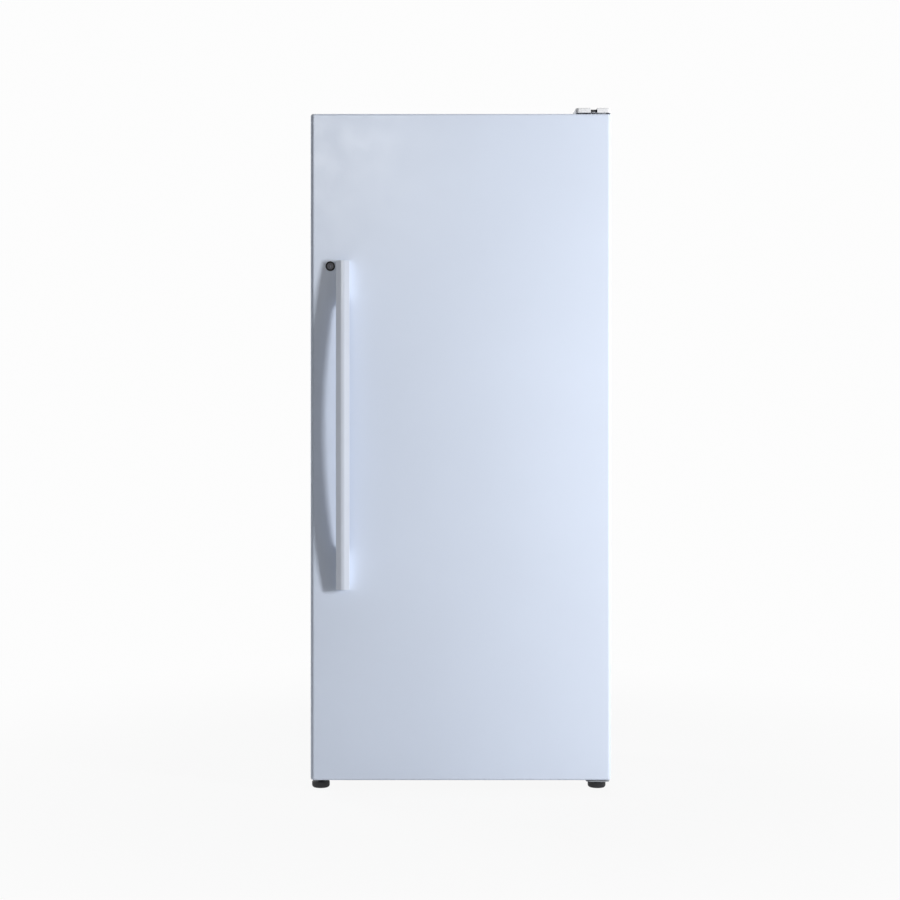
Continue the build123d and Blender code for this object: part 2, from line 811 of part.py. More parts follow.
# Machine cover: a louvred panel over the machine space
cover_gauge = 1.2
louvre_rows = 7
louvre_columns = 4
louvre_length = 120.0
louvre_height = 7.0
louvre_pitch = 22.0
louvre_hood = 3.0
louvre_spread = 165.0
machine_cover_low = deck_low + deck_lip
machine_cover_half = half_width - sheet - fit_gap
machine_cover_middle = (machine_cover_low + machine_top) / 2
inlet_from_edge = 66.5
inlet_height = 36.0
inlet_radius = 7.0
inlet_x = half_width - inlet_from_edge
inlet_z = base_clearance + inlet_height
with BuildPart() as machine_cover:
    with BuildSketch(facing_back(panel_outside)):
        span(-machine_cover_half, machine_cover_half, machine_cover_low, machine_top - fit_gap)
        with Locations((-inlet_x, inlet_z)):
            Circle(inlet_radius + fit_gap, mode=Mode.SUBTRACT)
    extrude(amount=cover_gauge)
    with BuildSketch(facing_back(panel_outside)) as slots:
        with Locations((0, machine_cover_middle)):
            with GridLocations(louvre_spread, louvre_pitch, louvre_columns, louvre_rows):
                Rectangle(louvre_length, louvre_height)
    extrude(amount=cover_gauge, mode=Mode.SUBTRACT)
    with BuildSketch(facing_right(0)) as hood_section:
        hood_base = panel_outside + cover_gauge
        for row in range(louvre_rows):
            slot_z = machine_cover_middle + (row - (louvre_rows - 1) / 2) * louvre_pitch
            slot_top = slot_z + louvre_height / 2
            with BuildLine():
                Polyline(
                    (hood_base, slot_top + louvre_hood),
                    (hood_base + louvre_hood, slot_z),
                    (hood_base + louvre_hood, slot_z - louvre_height / 4),
                    (hood_base, slot_top),
                    close=True,
                )
            make_face()
    for column in range(louvre_columns):
        column_x = (column - (louvre_columns - 1) / 2) * louvre_spread
        with Locations((column_x, 0, 0)):
            add(
                extrude(
                    hood_section.sketch, amount=louvre_length / 2, both=True, mode=Mode.PRIVATE
                )
            )
save(machine_cover.part, "machine_cover")

# Cord inlet: a rubber gland in the machine cover, with nothing led through it
gland_flange = 3.0
gland_lip = 2.0
gland_taper = 20
with BuildPart() as cord_inlet:
    with BuildSketch(facing_back(panel_outside - gland_lip)):
        with Locations((-inlet_x, inlet_z)):
            Circle(inlet_radius)
    extrude(amount=gland_lip + cover_gauge)
    with BuildSketch(facing_back(panel_outside + cover_gauge)):
        with Locations((-inlet_x, inlet_z)):
            Circle(inlet_radius + gland_flange)
    extrude(amount=gland_lip, taper=gland_taper)
save(cord_inlet.part, "cord_inlet")

# Evaporator: a wide fin pack on the back wall, above the hump
evaporator_above_hump = 85.0
evaporator_height = 190.0
evaporator_half = 220.0
evaporator_depth = 42.0
evaporator_fins = 22
evaporator_banks = 2
evaporator_y = cavity_back - evaporator_depth / 2 - fit_gap
evaporator_low = hump_top + evaporator_above_hump
with BuildPart() as evaporator_coil:
    with BuildSketch(Plane.XY.offset(evaporator_low)):
        with Locations((0, evaporator_y)):
            fin_pack(2 * evaporator_half, evaporator_depth, evaporator_fins, evaporator_banks)
    extrude(amount=evaporator_height)
save(evaporator_coil.part, "evaporator_coil")

# Evaporator cover: a shallow pan with an intake below, a round grille and outlets above
cover_wall = 2.0
cover_height = 818.0
cover_corner = 12.0
cover_half = cavity_half - cavity_side_radius - fit_gap
cover_low = hump_top + cavity_corner + fit_gap
cover_high = cover_low + cover_height
grille_above_hump = 405.0
grille_radius = 62.0
grille_bar = 3.0
grille_ring_gap = 14.0
grille_rings = 3
vent_length = 60.0
vent_height = 6.0
vent_pitch_x = 84.0
vent_pitch_z = 16.0
vent_columns = 6
vent_rows = 3
intake_above_edge = 36.0
outlet_below_edge = 50.0
grille_z = hump_top + grille_above_hump
intake_z = cover_low + intake_above_edge
outlet_z = cover_high - outlet_below_edge
with BuildPart() as evaporator_cover:
    with BuildSketch(facing_back(cover_front)) as pan_outline:
        span(-cover_half, cover_half, cover_low, cover_high)
        fillet(pan_outline.vertices(), radius=cover_corner)
    extrude(amount=cover_depth - fit_gap)
    cover_back = evaporator_cover.faces().sort_by(Axis.Y)[-1]
    offset(amount=-cover_wall, openings=cover_back)
    with BuildSketch(facing_back(cover_front)):
        for vent_z in (intake_z, outlet_z):
            with Locations((0, vent_z)):
                with GridLocations(vent_pitch_x, vent_pitch_z, vent_columns, vent_rows):
                    Rectangle(vent_length, vent_height)
        with Locations((0, grille_z)):
            Circle(grille_radius)
            for ring in range(1, grille_rings + 1):
                Circle(ring * grille_ring_gap + grille_bar, mode=Mode.SUBTRACT)
                Circle(ring * grille_ring_gap, mode=Mode.ADD)
            Circle(grille_ring_gap, mode=Mode.SUBTRACT)
            Rectangle(2 * grille_radius, 2 * grille_bar, mode=Mode.SUBTRACT)
            Rectangle(2 * grille_bar, 2 * grille_radius, mode=Mode.SUBTRACT)
    extrude(amount=cover_wall, mode=Mode.SUBTRACT)
save(evaporator_cover.part, "evaporator_cover")

# Evaporator fan and its motor, behind the grille
evaporator_fan_radius = 54.0
evaporator_hub_radius = 15.0
evaporator_hub_height = 16.0
evaporator_blade_count = 4
evaporator_motor_radius = 24.0
evaporator_motor_length = 26.0
evaporator_fan_gap = 4.0
motor_front = cavity_back - evaporator_motor_length - fit_gap
evaporator_fan_y = motor_front - evaporator_fan_gap
with BuildPart() as evaporator_fan_motor:
    with BuildSketch(facing_back(motor_front)):
        with Locations((0, grille_z)):
            Circle(evaporator_motor_radius)
    extrude(amount=evaporator_motor_length)
    chamfer(evaporator_fan_motor.edges().sort_by(Axis.Y)[0], length=cover_wall)
    with BuildSketch(facing_front(motor_front)):
        with Locations((0, grille_z)):
            Circle(fan_shaft_radius)
    extrude(amount=evaporator_fan_gap + evaporator_hub_height)
save(evaporator_fan_motor.part, "evaporator_fan_motor")

evaporator_fan_place = Location(facing_front(evaporator_fan_y)) * Location((0, grille_z, 0))
with BuildPart() as evaporator_fan:
    add(
        fan_form(
            evaporator_fan_radius,
            evaporator_hub_radius,
            evaporator_hub_height,
            evaporator_blade_count,
            fan_shaft_radius,
        ).moved(evaporator_fan_place)
    )
save(evaporator_fan.part, "evaporator_fan")

# Shelves
for number, level in enumerate(shelf_levels, start=1):
    shelf_depth = shelf_back - shelf_front
    shelf_middle = (shelf_front + shelf_back) / 2
    pane_half = shelf_half - shelf_frame_rim + glass_lap
    pane_depth = shelf_depth - 2 * (shelf_frame_rim - glass_lap)
    pane_low = level + shelf_frame_height - glass_thickness
    with BuildPart() as shelf_frame:
        with BuildSketch(Plane.XY.offset(level)):
            with Locations((0, shelf_middle)):
                RectangleRounded(2 * shelf_half, shelf_depth, shelf_frame_rim / 2)
                Rectangle(
                    2 * (shelf_half - shelf_frame_rim),
                    shelf_depth - 2 * shelf_frame_rim,
                    mode=Mode.SUBTRACT,
                )
        extrude(amount=shelf_frame_height)
        front_top = shelf_frame.edges().filter_by(Axis.X).group_by(Axis.Z)[-1].sort_by(Axis.Y)[0]
        fillet(front_top, radius=shelf_frame_rim / 4)
        with BuildSketch(Plane.XY.offset(pane_low)):
            with Locations((0, shelf_middle)):
                Rectangle(2 * (pane_half + fit_gap), pane_depth + 2 * fit_gap)
        extrude(amount=glass_thickness, mode=Mode.SUBTRACT)
    save(shelf_frame.part, "shelf_frame_" + str(number))
    with BuildPart() as shelf_glass:
        with BuildSketch(Plane.XY.offset(pane_low)):
            with Locations((0, shelf_middle)):
                Rectangle(2 * pane_half, pane_depth)
        extrude(amount=glass_thickness)
    save(shelf_glass.part, "shelf_glass_" + str(number))

# Pull-out basket: a moulded tub with slotted walls and a rim that rides on the runners
slot_width = 9.0
slot_height = 34.0
slot_pitch_x = 24.0
slot_pitch_z = 46.0
front_slots = 20
side_slots = 7
slot_rows = 2
basket_middle_y = (basket_front + basket_back) / 2
basket_depth = basket_back - basket_front
with BuildPart() as basket:
    with BuildSketch(Plane.XY.offset(basket_low)):
        with Locations((0, basket_middle_y)):
            RectangleRounded(2 * basket_half, basket_depth, basket_corner)
    extrude(amount=basket_height)
    basket_mouth = basket.faces().sort_by(Axis.Z)[-1]
    offset(amount=-basket_wall, openings=basket_mouth)
    with BuildSketch(Plane.XY.offset(basket_high - basket_rim_height)):
        for side in (-1, 1):
            with Locations((side * (basket_half + basket_rim_width / 2 - basket_wall), basket_middle_y)):
                Rectangle(basket_rim_width, basket_depth - 2 * basket_corner)
    extrude(amount=basket_rim_height)
    with BuildSketch(facing_back(basket_front)):
        with Locations((0, basket_low + basket_height / 2)):
            with GridLocations(slot_pitch_x, slot_pitch_z, front_slots, slot_rows):
                Rectangle(slot_width, slot_height)
    extrude(amount=basket_depth, mode=Mode.SUBTRACT)
    with BuildSketch(facing_right(0)):
        with Locations((basket_middle_y, basket_low + basket_height / 2)):
            with GridLocations(slot_pitch_x, slot_pitch_z, side_slots, slot_rows):
                Rectangle(slot_width, slot_height)
    extrude(amount=basket_half, both=True, mode=Mode.SUBTRACT)
save(basket.part, "basket")

# Control housing on the ceiling, with the knob, the light switch, the lamp and its lens
housing_half = 150.0
housing_front_setback = 43.0
housing_depth = 125.0
housing_height = 50.0
housing_wall = 2.5
housing_slope = 14.0
housing_corner = 6.0
knob_x = 84.0
knob_radius = 16.0
knob_depth = 11.0
knob_grip = 6.0
knob_taper = 4
knob_shaft_radius = 3.0
knob_shaft_length = 20.0
plunger_x = -90.0
plunger_radius = 4.0
plunger_collar = 7.0
plunger_travel = 6.0
bulb_radius = 11.0
bulb_length = 46.0
bulb_tip = 9.5
bulb_neck = 3.5
holder_radius = 9.0
holder_length = 22.0
holder_left = -48.0
holder_web = 3.0
lens_length = 110.0
lens_width = 66.0
lens_drop = 5.0
lens_wall = 2.0
lens_draft = 12
dyke_depth = 32.0
housing_front = cabinet_front + housing_front_setback
housing_back = housing_front + housing_depth
housing_low = cavity_top - housing_height
control_z = cavity_top - housing_height / 2
dyke_back = door_back + dyke_depth
plunger_tip = dyke_back + fit_gap
lens_y = housing_front + housing_depth / 2
with BuildPart() as control_housing:
    with BuildSketch(facing_right(0)):
        with BuildLine():
            Polyline(
                (housing_front, cavity_top),
                (housing_front, housing_low + housing_corner),
                (housing_front + housing_corner, housing_low),
                (housing_back - housing_slope, housing_low),
                (housing_back, cavity_top),
                close=True,
            )
        make_face()
    extrude(amount=housing_half, both=True)
    ends = control_housing.faces().filter_by(Axis.X).edges().filter_by(Axis.Z)
    fillet(ends, radius=housing_corner / 2)
    housing_top = control_housing.faces().sort_by(Axis.Z)[-1]
    offset(amount=-housing_wall, openings=housing_top)
    with BuildSketch(facing_back(housing_front)):
        with Locations((-knob_x, control_z)):
            Circle(knob_shaft_radius + pin_fit)
        with Locations((-plunger_x, control_z)):
            Circle(plunger_radius + pin_fit)
    extrude(amount=housing_wall, mode=Mode.SUBTRACT)
    with BuildSketch(Plane.XY.offset(housing_low)):
        with Locations((0, lens_y)):
            RectangleRounded(lens_length + 2 * fit_gap, lens_width + 2 * fit_gap, housing_corner)
    extrude(amount=housing_wall, mode=Mode.SUBTRACT)
    with BuildSketch(facing_right(holder_left)):
        with Locations((lens_y, control_z)):
            Circle(holder_radius)
    extrude(amount=holder_length)
    with BuildSketch(facing_right(holder_left)):
        span(housing_front, lens_y + holder_radius, control_z - holder_radius, cavity_top)
    extrude(amount=holder_web)
save(control_housing.part, "control_housing")

with BuildPart() as lamp_lens:
    for inset, mode in ((0, Mode.ADD), (lens_wall, Mode.SUBTRACT)):
        with BuildSketch(Plane.XY.offset(housing_low + housing_wall)):
            with Locations((0, lens_y)):
                RectangleRounded(
                    lens_length - 2 * inset, lens_width - 2 * inset, housing_corner - fit_gap - inset
                )
        extrude(amount=inset - housing_wall - lens_drop, taper=lens_draft, mode=mode)
save(lamp_lens.part, "lamp_lens")

# Lamp: a small bulb that sits in the housing's holder
with BuildPart() as lamp:
    with BuildSketch(facing_right(holder_left + holder_length)):
        with Locations((lens_y, control_z)):
            Circle(bulb_radius)
    extrude(amount=bulb_length)
    lamp_ends = lamp.edges().filter_by(GeomType.CIRCLE).sort_by(Axis.X)
    fillet(lamp_ends[-1], radius=bulb_tip)
    chamfer(lamp_ends[0], length=bulb_neck)
save(lamp.part, "lamp")

# Light switch: a block behind the housing's front wall, and the plunger that the door presses
switch_side = 24.0
switch_depth = 26.0
plunger_slack = 1.5
plunger_clear = plunger_travel + housing_wall + plunger_slack
collar_gauge = 2.0
switch_front = housing_front + plunger_clear + collar_gauge + fit_gap
plunger_tail = 18.0
with BuildPart() as light_switch:
    with BuildSketch(facing_back(switch_front)):
        span(
            -plunger_x - switch_side / 2,
            -plunger_x + switch_side / 2,
            control_z - switch_side / 2,
            cavity_top,
        )
        with Locations((-plunger_x, control_z)):
            Circle(plunger_radius + pin_fit, mode=Mode.SUBTRACT)
    extrude(amount=switch_depth)
save(light_switch.part, "light_switch")
with BuildPart() as light_plunger:
    with BuildSketch(facing_back(plunger_tip)):
        with Locations((-plunger_x, control_z)):
            Circle(plunger_radius)
    extrude(amount=switch_front + plunger_tail - plunger_tip)
    fillet(light_plunger.edges().filter_by(GeomType.CIRCLE).sort_by(Axis.Y)[0], radius=plunger_radius / 2)
    with BuildSketch(facing_back(switch_front - fit_gap - collar_gauge)):
        with Locations((-plunger_x, control_z)):
            Circle(plunger_collar)
    extrude(amount=collar_gauge)
save(light_plunger.part, "light_plunger")

# Thermostat knob: a dial with a raised grip, on a shaft through the housing's front wall
with BuildPart() as thermostat_knob:
    with BuildSketch(facing_front(housing_front - fit_gap)):
        with Locations((knob_x, control_z)):
            Circle(knob_radius)
    extrude(amount=knob_depth / 2, taper=knob_taper)
    with BuildSketch(facing_front(housing_front - fit_gap)):
        with Locations((knob_x, control_z)):
            SlotOverall(2 * knob_radius - knob_grip, knob_grip, rotation=90)
    extrude(amount=knob_depth)
    with BuildSketch(facing_back(housing_front - fit_gap)):
        with Locations((-knob_x, control_z)):
            Circle(knob_shaft_radius)
    extrude(amount=knob_shaft_length)
save(thermostat_knob.part, "thermostat_knob")


def door_form(inset):
    """The door's steel outline, smaller by inset at every side but the back."""
    with BuildPart() as form:
        with BuildSketch(facing_back(door_front + inset)):
            with Locations((0, door_middle)):
                Rectangle(width - 2 * inset, door_height - 2 * inset)
        extrude(amount=door_thickness - inset)
        upright = form.faces().sort_by(Axis.Y)[0].edges().filter_by(Axis.Z)
        fillet(upright, radius=door_side_radius - inset)
        level = form.faces().sort_by(Axis.Y)[0].edges().filter_by(Axis.X)
        fillet(level, radius=door_end_radius - inset)
    return form.part


# Holes through the door: bushes at its ends, lock and handle screws at its face
bush_radius = hinge_pin_radius + pin_fit + bush_wall
bush_length = hinge_pin_reach + bush_wall + fit_gap
handle_screw_radius = 3.0
handle_screw_reach = 14.0
handle_screw_head = 5.5
handle_screw_head_height = 4.0
handle_screw_inset = 24.0
handle_screw_pitch = 36.0
handle_screw_levels = [
    handle_bottom + handle_screw_inset,
    handle_bottom + handle_screw_inset + handle_screw_pitch,
    handle_top - handle_screw_inset - handle_screw_pitch,
    handle_top - handle_screw_inset,
]


def door_cuts(clear, front_clear):
    """Room in the door for the bushes, the lock and the handle's screws."""
    with BuildPart() as cuts:
        for base in (door_floor_gap, door_top - bush_length):
            with BuildSketch(Plane.XY.offset(base - overcut)):
                with Locations((hinge_x, hinge_y)):
                    Circle(bush_radius + clear)
            extrude(amount=bush_length + 2 * overcut)
        with BuildSketch(facing_back(door_front - overcut)):
            with Locations((-lock_x, lock_z)):
                Circle(lock_barrel_radius + clear)
        extrude(amount=lock_barrel_length + overcut + clear)
        with BuildSketch(facing_back(door_front)):
            with Locations((-lock_x, lock_z)):
                Circle(tail_radius + tail_clearance)
        extrude(amount=door_thickness + overcut)
        with BuildSketch(facing_back(door_front - overcut)):
            with Locations([(-handle_x, z) for z in handle_screw_levels]):
                Circle(handle_screw_radius + clear)
        extrude(amount=front_clear + 2 * overcut)
    return cuts.part


with BuildPart() as door_panel:
    add(door_form(0))
    add(door_form(sheet), mode=Mode.SUBTRACT)
    add(door_cuts(pin_fit, sheet), mode=Mode.SUBTRACT)
save(door_panel.part, "door_panel")

# Raised ring on the door liner, which enters the cabinet's mouth
dyke_gap = 10.0
dyke_width = 40.0
dyke_corner = 20.0
dyke_draft = 6
dyke_half = cavity_half - dyke_gap
dyke_low = cavity_floor + dyke_gap
dyke_high = cavity_top - dyke_gap
dyke_middle = (dyke_low + dyke_high) / 2
dyke_height = dyke_high - dyke_low
liner_front = door_back - liner_wall


def dyke_form(inset, start):
    """The liner's raised ring from depth start, thinner by inset on its faces."""
    with BuildPart() as form:
        with BuildSketch(facing_back(start)):
            with Locations((0, dyke_middle)):
                RectangleRounded(
                    2 * (dyke_half - inset), dyke_height - 2 * inset, dyke_corner - inset
                )
                RectangleRounded(
                    2 * (dyke_half - dyke_width + inset),
                    dyke_height - 2 * (dyke_width - inset),
                    dyke_corner - inset,
                    mode=Mode.SUBTRACT,
                )
        extrude(amount=dyke_back - inset - start, taper=dyke_draft)
    return form.part


# Door bins: open trays with rounded front corners, on ledges of the door liner
bin_count = 5
bin_first = 356.5
bin_top_gap = 74.0
bin_depth = 118.0
bin_height = 92.0
bin_front_height = 72.0
bin_wall = 2.2
bin_corner = 30.0
bin_side_gap = 5.0
bin_ledge_depth = 14.0
bin_ledge_height = 6.0
bin_half = dyke_half - dyke_width - bin_side_gap
bin_pitch = (cavity_top - bin_top_gap - bin_height - bin_first) / (bin_count - 1)
bin_levels = [bin_first + bin_pitch * n for n in range(bin_count)]
bin_back = door_back + fit_gap

with BuildPart() as door_liner:
    with BuildSketch(facing_back(liner_front)):
        with Locations((0, door_middle)):
            RectangleRounded(
                width - 2 * (sheet + bond_gap),
                door_height - 2 * (sheet + bond_gap),
                door_end_radius,
            )
    extrude(amount=liner_wall)
    add(dyke_form(0, liner_front))
    add(dyke_form(liner_wall, liner_front), mode=Mode.SUBTRACT)
    with BuildSketch(facing_back(door_back)):
        for level in bin_levels:
            with Locations((0, level - bin_ledge_height / 2)):
                Rectangle(2 * (bin_half - bin_corner), bin_ledge_height)
    extrude(amount=bin_ledge_depth, taper=dyke_draft)
    with BuildSketch(facing_back(liner_front)):
        with Locations((-lock_x, lock_z)):
            Circle(tail_radius + tail_clearance)
    extrude(amount=liner_wall, mode=Mode.SUBTRACT)
save(door_liner.part, "door_liner")

with BuildPart() as door_foam:
    add(door_form(sheet + bond_gap))
    with BuildSketch(facing_back(liner_front - bond_gap)):
        with Locations((0, door_middle)):
            Rectangle(width, door_height)
    extrude(amount=door_thickness, mode=Mode.SUBTRACT)
    add(dyke_form(liner_wall + bond_gap, liner_front - bond_gap))
    add(door_cuts(bond_gap, handle_screw_head_height), mode=Mode.SUBTRACT)
    with BuildSketch(facing_back(door_front + sheet)):
        with Locations([(-handle_x, z) for z in handle_screw_levels]):
            Circle(handle_screw_head + bond_gap)
    extrude(amount=handle_screw_head_height + bond_gap, mode=Mode.SUBTRACT)
save(door_foam.part, "door_foam")

# Gasket: a foot on the liner, a narrow bellows and the magnetic head that meets the cabinet
gasket_width = 22.0
gasket_inset = 19.5
gasket_foot = 2.0
gasket_waist = 10.0
gasket_head = 3.4
gasket_half = half_width - gasket_inset
gasket_length = door_height - 2 * gasket_inset
gasket_corner = 8.0
gasket_depth = door_gap - fit_gap
with BuildPart() as door_gasket:
    for start, stop, ring in (
        (0, gasket_foot, gasket_width),
        (gasket_foot, gasket_depth - gasket_head, gasket_waist),
        (gasket_depth - gasket_head, gasket_depth, gasket_width - gasket_foot),
    ):
        trim = (gasket_width - ring) / 2
        with BuildSketch(facing_back(door_back + start)):
            with Locations((0, door_middle)):
                RectangleRounded(
                    2 * (gasket_half - trim), gasket_length - 2 * trim, gasket_corner
                )
                RectangleRounded(
                    2 * (gasket_half - trim - ring),
                    gasket_length - 2 * (trim + ring),
                    gasket_corner / 2,
                    mode=Mode.SUBTRACT,
                )
        extrude(amount=stop - start)
save(door_gasket.part, "door_gasket")

for number, level in enumerate(bin_levels, start=1):
    with BuildPart() as door_bin:
        with BuildSketch(Plane.XY.offset(level)) as tray:
            with Locations((0, bin_back + bin_depth / 2)):
                Rectangle(2 * bin_half, bin_depth)
            fillet(tray.vertices().group_by(Axis.Y)[-1], radius=bin_corner)
        extrude(amount=bin_height)
        tray_mouth = door_bin.faces().sort_by(Axis.Z)[-1]
        offset(amount=-bin_wall, openings=tray_mouth)
        with BuildSketch(facing_right(0)):
            with BuildLine():
                Polyline(
                    (bin_back + bin_depth / 2, level + bin_height),
                    (bin_back + bin_depth, level + bin_front_height),
                    (bin_back + bin_depth + overcut, level + bin_height + overcut),
                    (bin_back + bin_depth / 2, level + bin_height + overcut),
                    close=True,
                )
            make_face()
        extrude(amount=bin_half + overcut, both=True, mode=Mode.SUBTRACT)
    save(door_bin.part, "door_bin_" + str(number))

# Handle: a bow strap whose crowned and bevelled section is revolved about a far axis and cut
# flat at its ends. The finger opening follows the bow at the strap's thickness and runs into a
# pad at each end with a large fillet, and its long edges are rounded for the palm
bow_rise = handle_reach - handle_end_reach
bow_radius = ((handle_length / 2) ** 2 + bow_rise**2) / (2 * bow_rise)
handle_middle = handle_bottom + handle_length / 2
bow_apex = door_front - handle_reach
bow_axis_y = bow_apex + bow_radius
face_edge = bow_apex + handle_crown
flank_edge = face_edge + handle_flank
bow_overrun = 1.5
bow_turn = bow_overrun * degrees(asin(handle_length / 2 / bow_radius))
palm_apex = bow_apex + handle_thickness
palm_bow = bow_radius - handle_thickness
palm_end = palm_apex + palm_bow - sqrt(palm_bow**2 - (finger_opening / 2) ** 2)
finger_low = handle_middle - finger_opening / 2
finger_high = handle_middle + finger_opening / 2
with BuildPart() as handle:
    with BuildSketch(Plane.XY.offset(handle_middle)):
        with BuildLine():
            ThreePointArc(
                (handle_x - handle_face_width / 2, face_edge),
                (handle_x, bow_apex),
                (handle_x + handle_face_width / 2, face_edge),
            )
            Polyline(
                (handle_x + handle_face_width / 2, face_edge),
                (handle_x + handle_width / 2, flank_edge),
                (handle_x + handle_width / 2, door_front + bow_rise),
                (handle_x - handle_width / 2, door_front + bow_rise),
                (handle_x - handle_width / 2, flank_edge),
                (handle_x - handle_face_width / 2, face_edge),
            )
        make_face()
    revolve(axis=Axis((0, bow_axis_y, handle_middle), (1, 0, 0)), revolution_arc=bow_turn)
    mirror(about=Plane.XY.offset(handle_middle))
    with BuildSketch(facing_right(handle_x)):
        span(bow_apex - overcut, door_front, handle_bottom, handle_top)
    extrude(amount=handle_width, both=True, mode=Mode.INTERSECT)
    with BuildSketch(facing_right(handle_x)) as finger_outline:
        with BuildLine():
            ThreePointArc(
                (palm_end, finger_low),
                (palm_apex, handle_middle),
                (palm_end, finger_high),
            )
            Polyline(
                (palm_end, finger_high),
                (door_front + finger_fillet, finger_high),
                (door_front + finger_fillet, finger_low),
                (palm_end, finger_low),
            )
        make_face()
        fillet(finger_outline.vertices().group_by(Axis.X)[0], radius=finger_fillet)
    extrude(amount=handle_width, both=True, mode=Mode.SUBTRACT)
    palm_edges = handle.edges().filter_by(
        lambda edge: edge.geom_type == GeomType.CIRCLE
        and abs(abs(edge.center().X - handle_x) - handle_width / 2) < overcut / 2
        and edge.center().Y > flank_edge + overcut
    )
    fillet(palm_edges, radius=handle_palm_radius)
    with BuildSketch(facing_front(door_front)):
        with Locations([(handle_x, z) for z in handle_screw_levels]):
            Circle(handle_screw_radius + bond_gap / 2)
    extrude(amount=handle_screw_reach + fit_gap, mode=Mode.SUBTRACT)
save(handle.part, "handle")

with BuildPart() as handle_screws:
    with BuildSketch(facing_back(door_front + sheet)):
        with Locations([(-handle_x, z) for z in handle_screw_levels]):
            Circle(handle_screw_head)
    extrude(amount=handle_screw_head_height)
    with BuildSketch(facing_front(door_front + sheet)):
        with Locations([(handle_x, z) for z in handle_screw_levels]):
            Circle(handle_screw_radius)
    extrude(amount=handle_screw_reach + sheet)
save(handle_screws.part, "handle_screws")

# Lock: a dark bezel and barrel in the door, and the core with its tail shaft and lever
with BuildPart() as lock_housing:
    with BuildSketch(facing_front(door_front)):
        with Locations((lock_x, lock_z)):
            Circle(lock_bezel_radius)
    extrude(amount=lock_bezel_proud)
    bezel_rim = lock_housing.edges().sort_by(Axis.Y)[0]
    chamfer(bezel_rim, length=lock_bezel_edge)
    with BuildSketch(facing_back(door_front)):
        with Locations((-lock_x, lock_z)):
            Circle(lock_barrel_radius)
    extrude(amount=lock_barrel_length)
    with BuildSketch(facing_front(door_front + lock_barrel_length)):
        with Locations((lock_x, lock_z)):
            Circle(lock_core_radius + pin_fit)
    extrude(amount=lock_barrel_length + lock_bezel_proud, mode=Mode.SUBTRACT)
save(lock_housing.part, "lock_housing")

lever_back = frame_back + strike_wall + lever_setback
with BuildPart() as lock_core:
    with BuildSketch(facing_back(door_front - lock_bezel_proud + lock_face_step)):
        with Locations((-lock_x, lock_z)):
            Circle(lock_core_radius)
    extrude(amount=lock_barrel_length + lock_bezel_proud - lock_face_step)
    with BuildSketch(facing_back(door_front - lock_bezel_proud + lock_face_step)):
        with Locations((-lock_x, lock_z)):
            Rectangle(key_slot_width, key_slot_height)
    extrude(amount=key_slot_depth, mode=Mode.SUBTRACT)
    with BuildSketch(facing_back(door_front + lock_barrel_length)):
        with Locations((-lock_x, lock_z)):
            Circle(tail_radius)
    extrude(amount=lever_back + lever_gauge - door_front - lock_barrel_length)
    with BuildSketch(facing_back(lever_back)):
        with Locations((-lock_x, lock_z)):
            Circle(tail_radius)
        with Locations((-lock_x, lock_z + lever_length - lever_width / 2)):
            Circle(lever_width / 2)
        make_hull()
    extrude(amount=lever_gauge)
save(lock_core.part, "lock_core")

# Bushes: flanged sleeves in the door's top and bottom, around the hinge pins
bracket_top = bracket_low + bracket_gauge
low_flange = door_floor_gap - bracket_top - fit_gap
with BuildPart() as door_bushes:
    for base, flange_base, flange in (
        (door_floor_gap, bracket_top + fit_gap, low_flange),
        (door_top - bush_length, door_top, bush_flange),
    ):
        with BuildSketch(Plane.XY.offset(base)):
            with Locations((hinge_x, hinge_y)):
                Circle(bush_radius)
        extrude(amount=bush_length)
        with BuildSketch(Plane.XY.offset(flange_base)):
            with Locations((hinge_x, hinge_y)):
                Circle(bush_radius + bush_wall)
        extrude(amount=flange)
    with BuildSketch(Plane.XY):
        with Locations((hinge_x, hinge_y)):
            Circle(hinge_pin_radius + pin_fit)
    extrude(amount=door_floor_gap + bush_length - bush_wall, mode=Mode.SUBTRACT)
    with BuildSketch(Plane.XY.offset(door_top - bush_length + bush_wall)):
        with Locations((hinge_x, hinge_y)):
            Circle(hinge_pin_radius + pin_fit)
    extrude(amount=2 * bush_length, mode=Mode.SUBTRACT)
save(door_bushes.part, "door_bushes")

# Top hinge: a plate screwed to the cabinet's top, with its pin pointing down into the door
screw_radius = 3.0
screw_head_width = 10.0
screw_head_height = 4.5
screw_reach = 12.0
washer_radius = 7.0
washer_gauge = 1.2
plate_lobe = 12.0
plate_reach = 108.0
plate_span = 48.0
cover_screw_from_edge = 46.5
cover_screw_from_front = 20.0
cover_screw_head_radius = 6.5
cover_screw_head_height = 6.0
cover_screw_taper = 8
plate_top = cabinet_top + hinge_plate
top_screw_spots = [
    (hinge_x, hinge_y + plate_reach),
    (hinge_x - plate_span, hinge_y + plate_reach),
    (hinge_x - plate_span / 2, hinge_y + plate_reach - plate_span / 2),
]
cover_screw_spot = (half_width - cover_screw_from_edge, door_front + cover_screw_from_front)
with BuildPart() as top_hinge:
    with BuildSketch(Plane.XY.offset(cabinet_top)):
        with Locations((hinge_x, hinge_y), cover_screw_spot, *top_screw_spots[:2]):
            Circle(plate_lobe)
        make_hull()
    extrude(amount=hinge_plate)
    with BuildSketch(Plane.XY.offset(plate_top)):
        with Locations((hinge_x, hinge_y)):
            Circle(hinge_pin_radius)
    extrude(amount=-(plate_top - door_top + hinge_pin_reach))
    with BuildSketch(Plane.XY.offset(cabinet_top)):
        with Locations(cover_screw_spot, *top_screw_spots):
            Circle(screw_radius + bond_gap)
    extrude(amount=hinge_plate, mode=Mode.SUBTRACT)
save(top_hinge.part, "top_hinge")

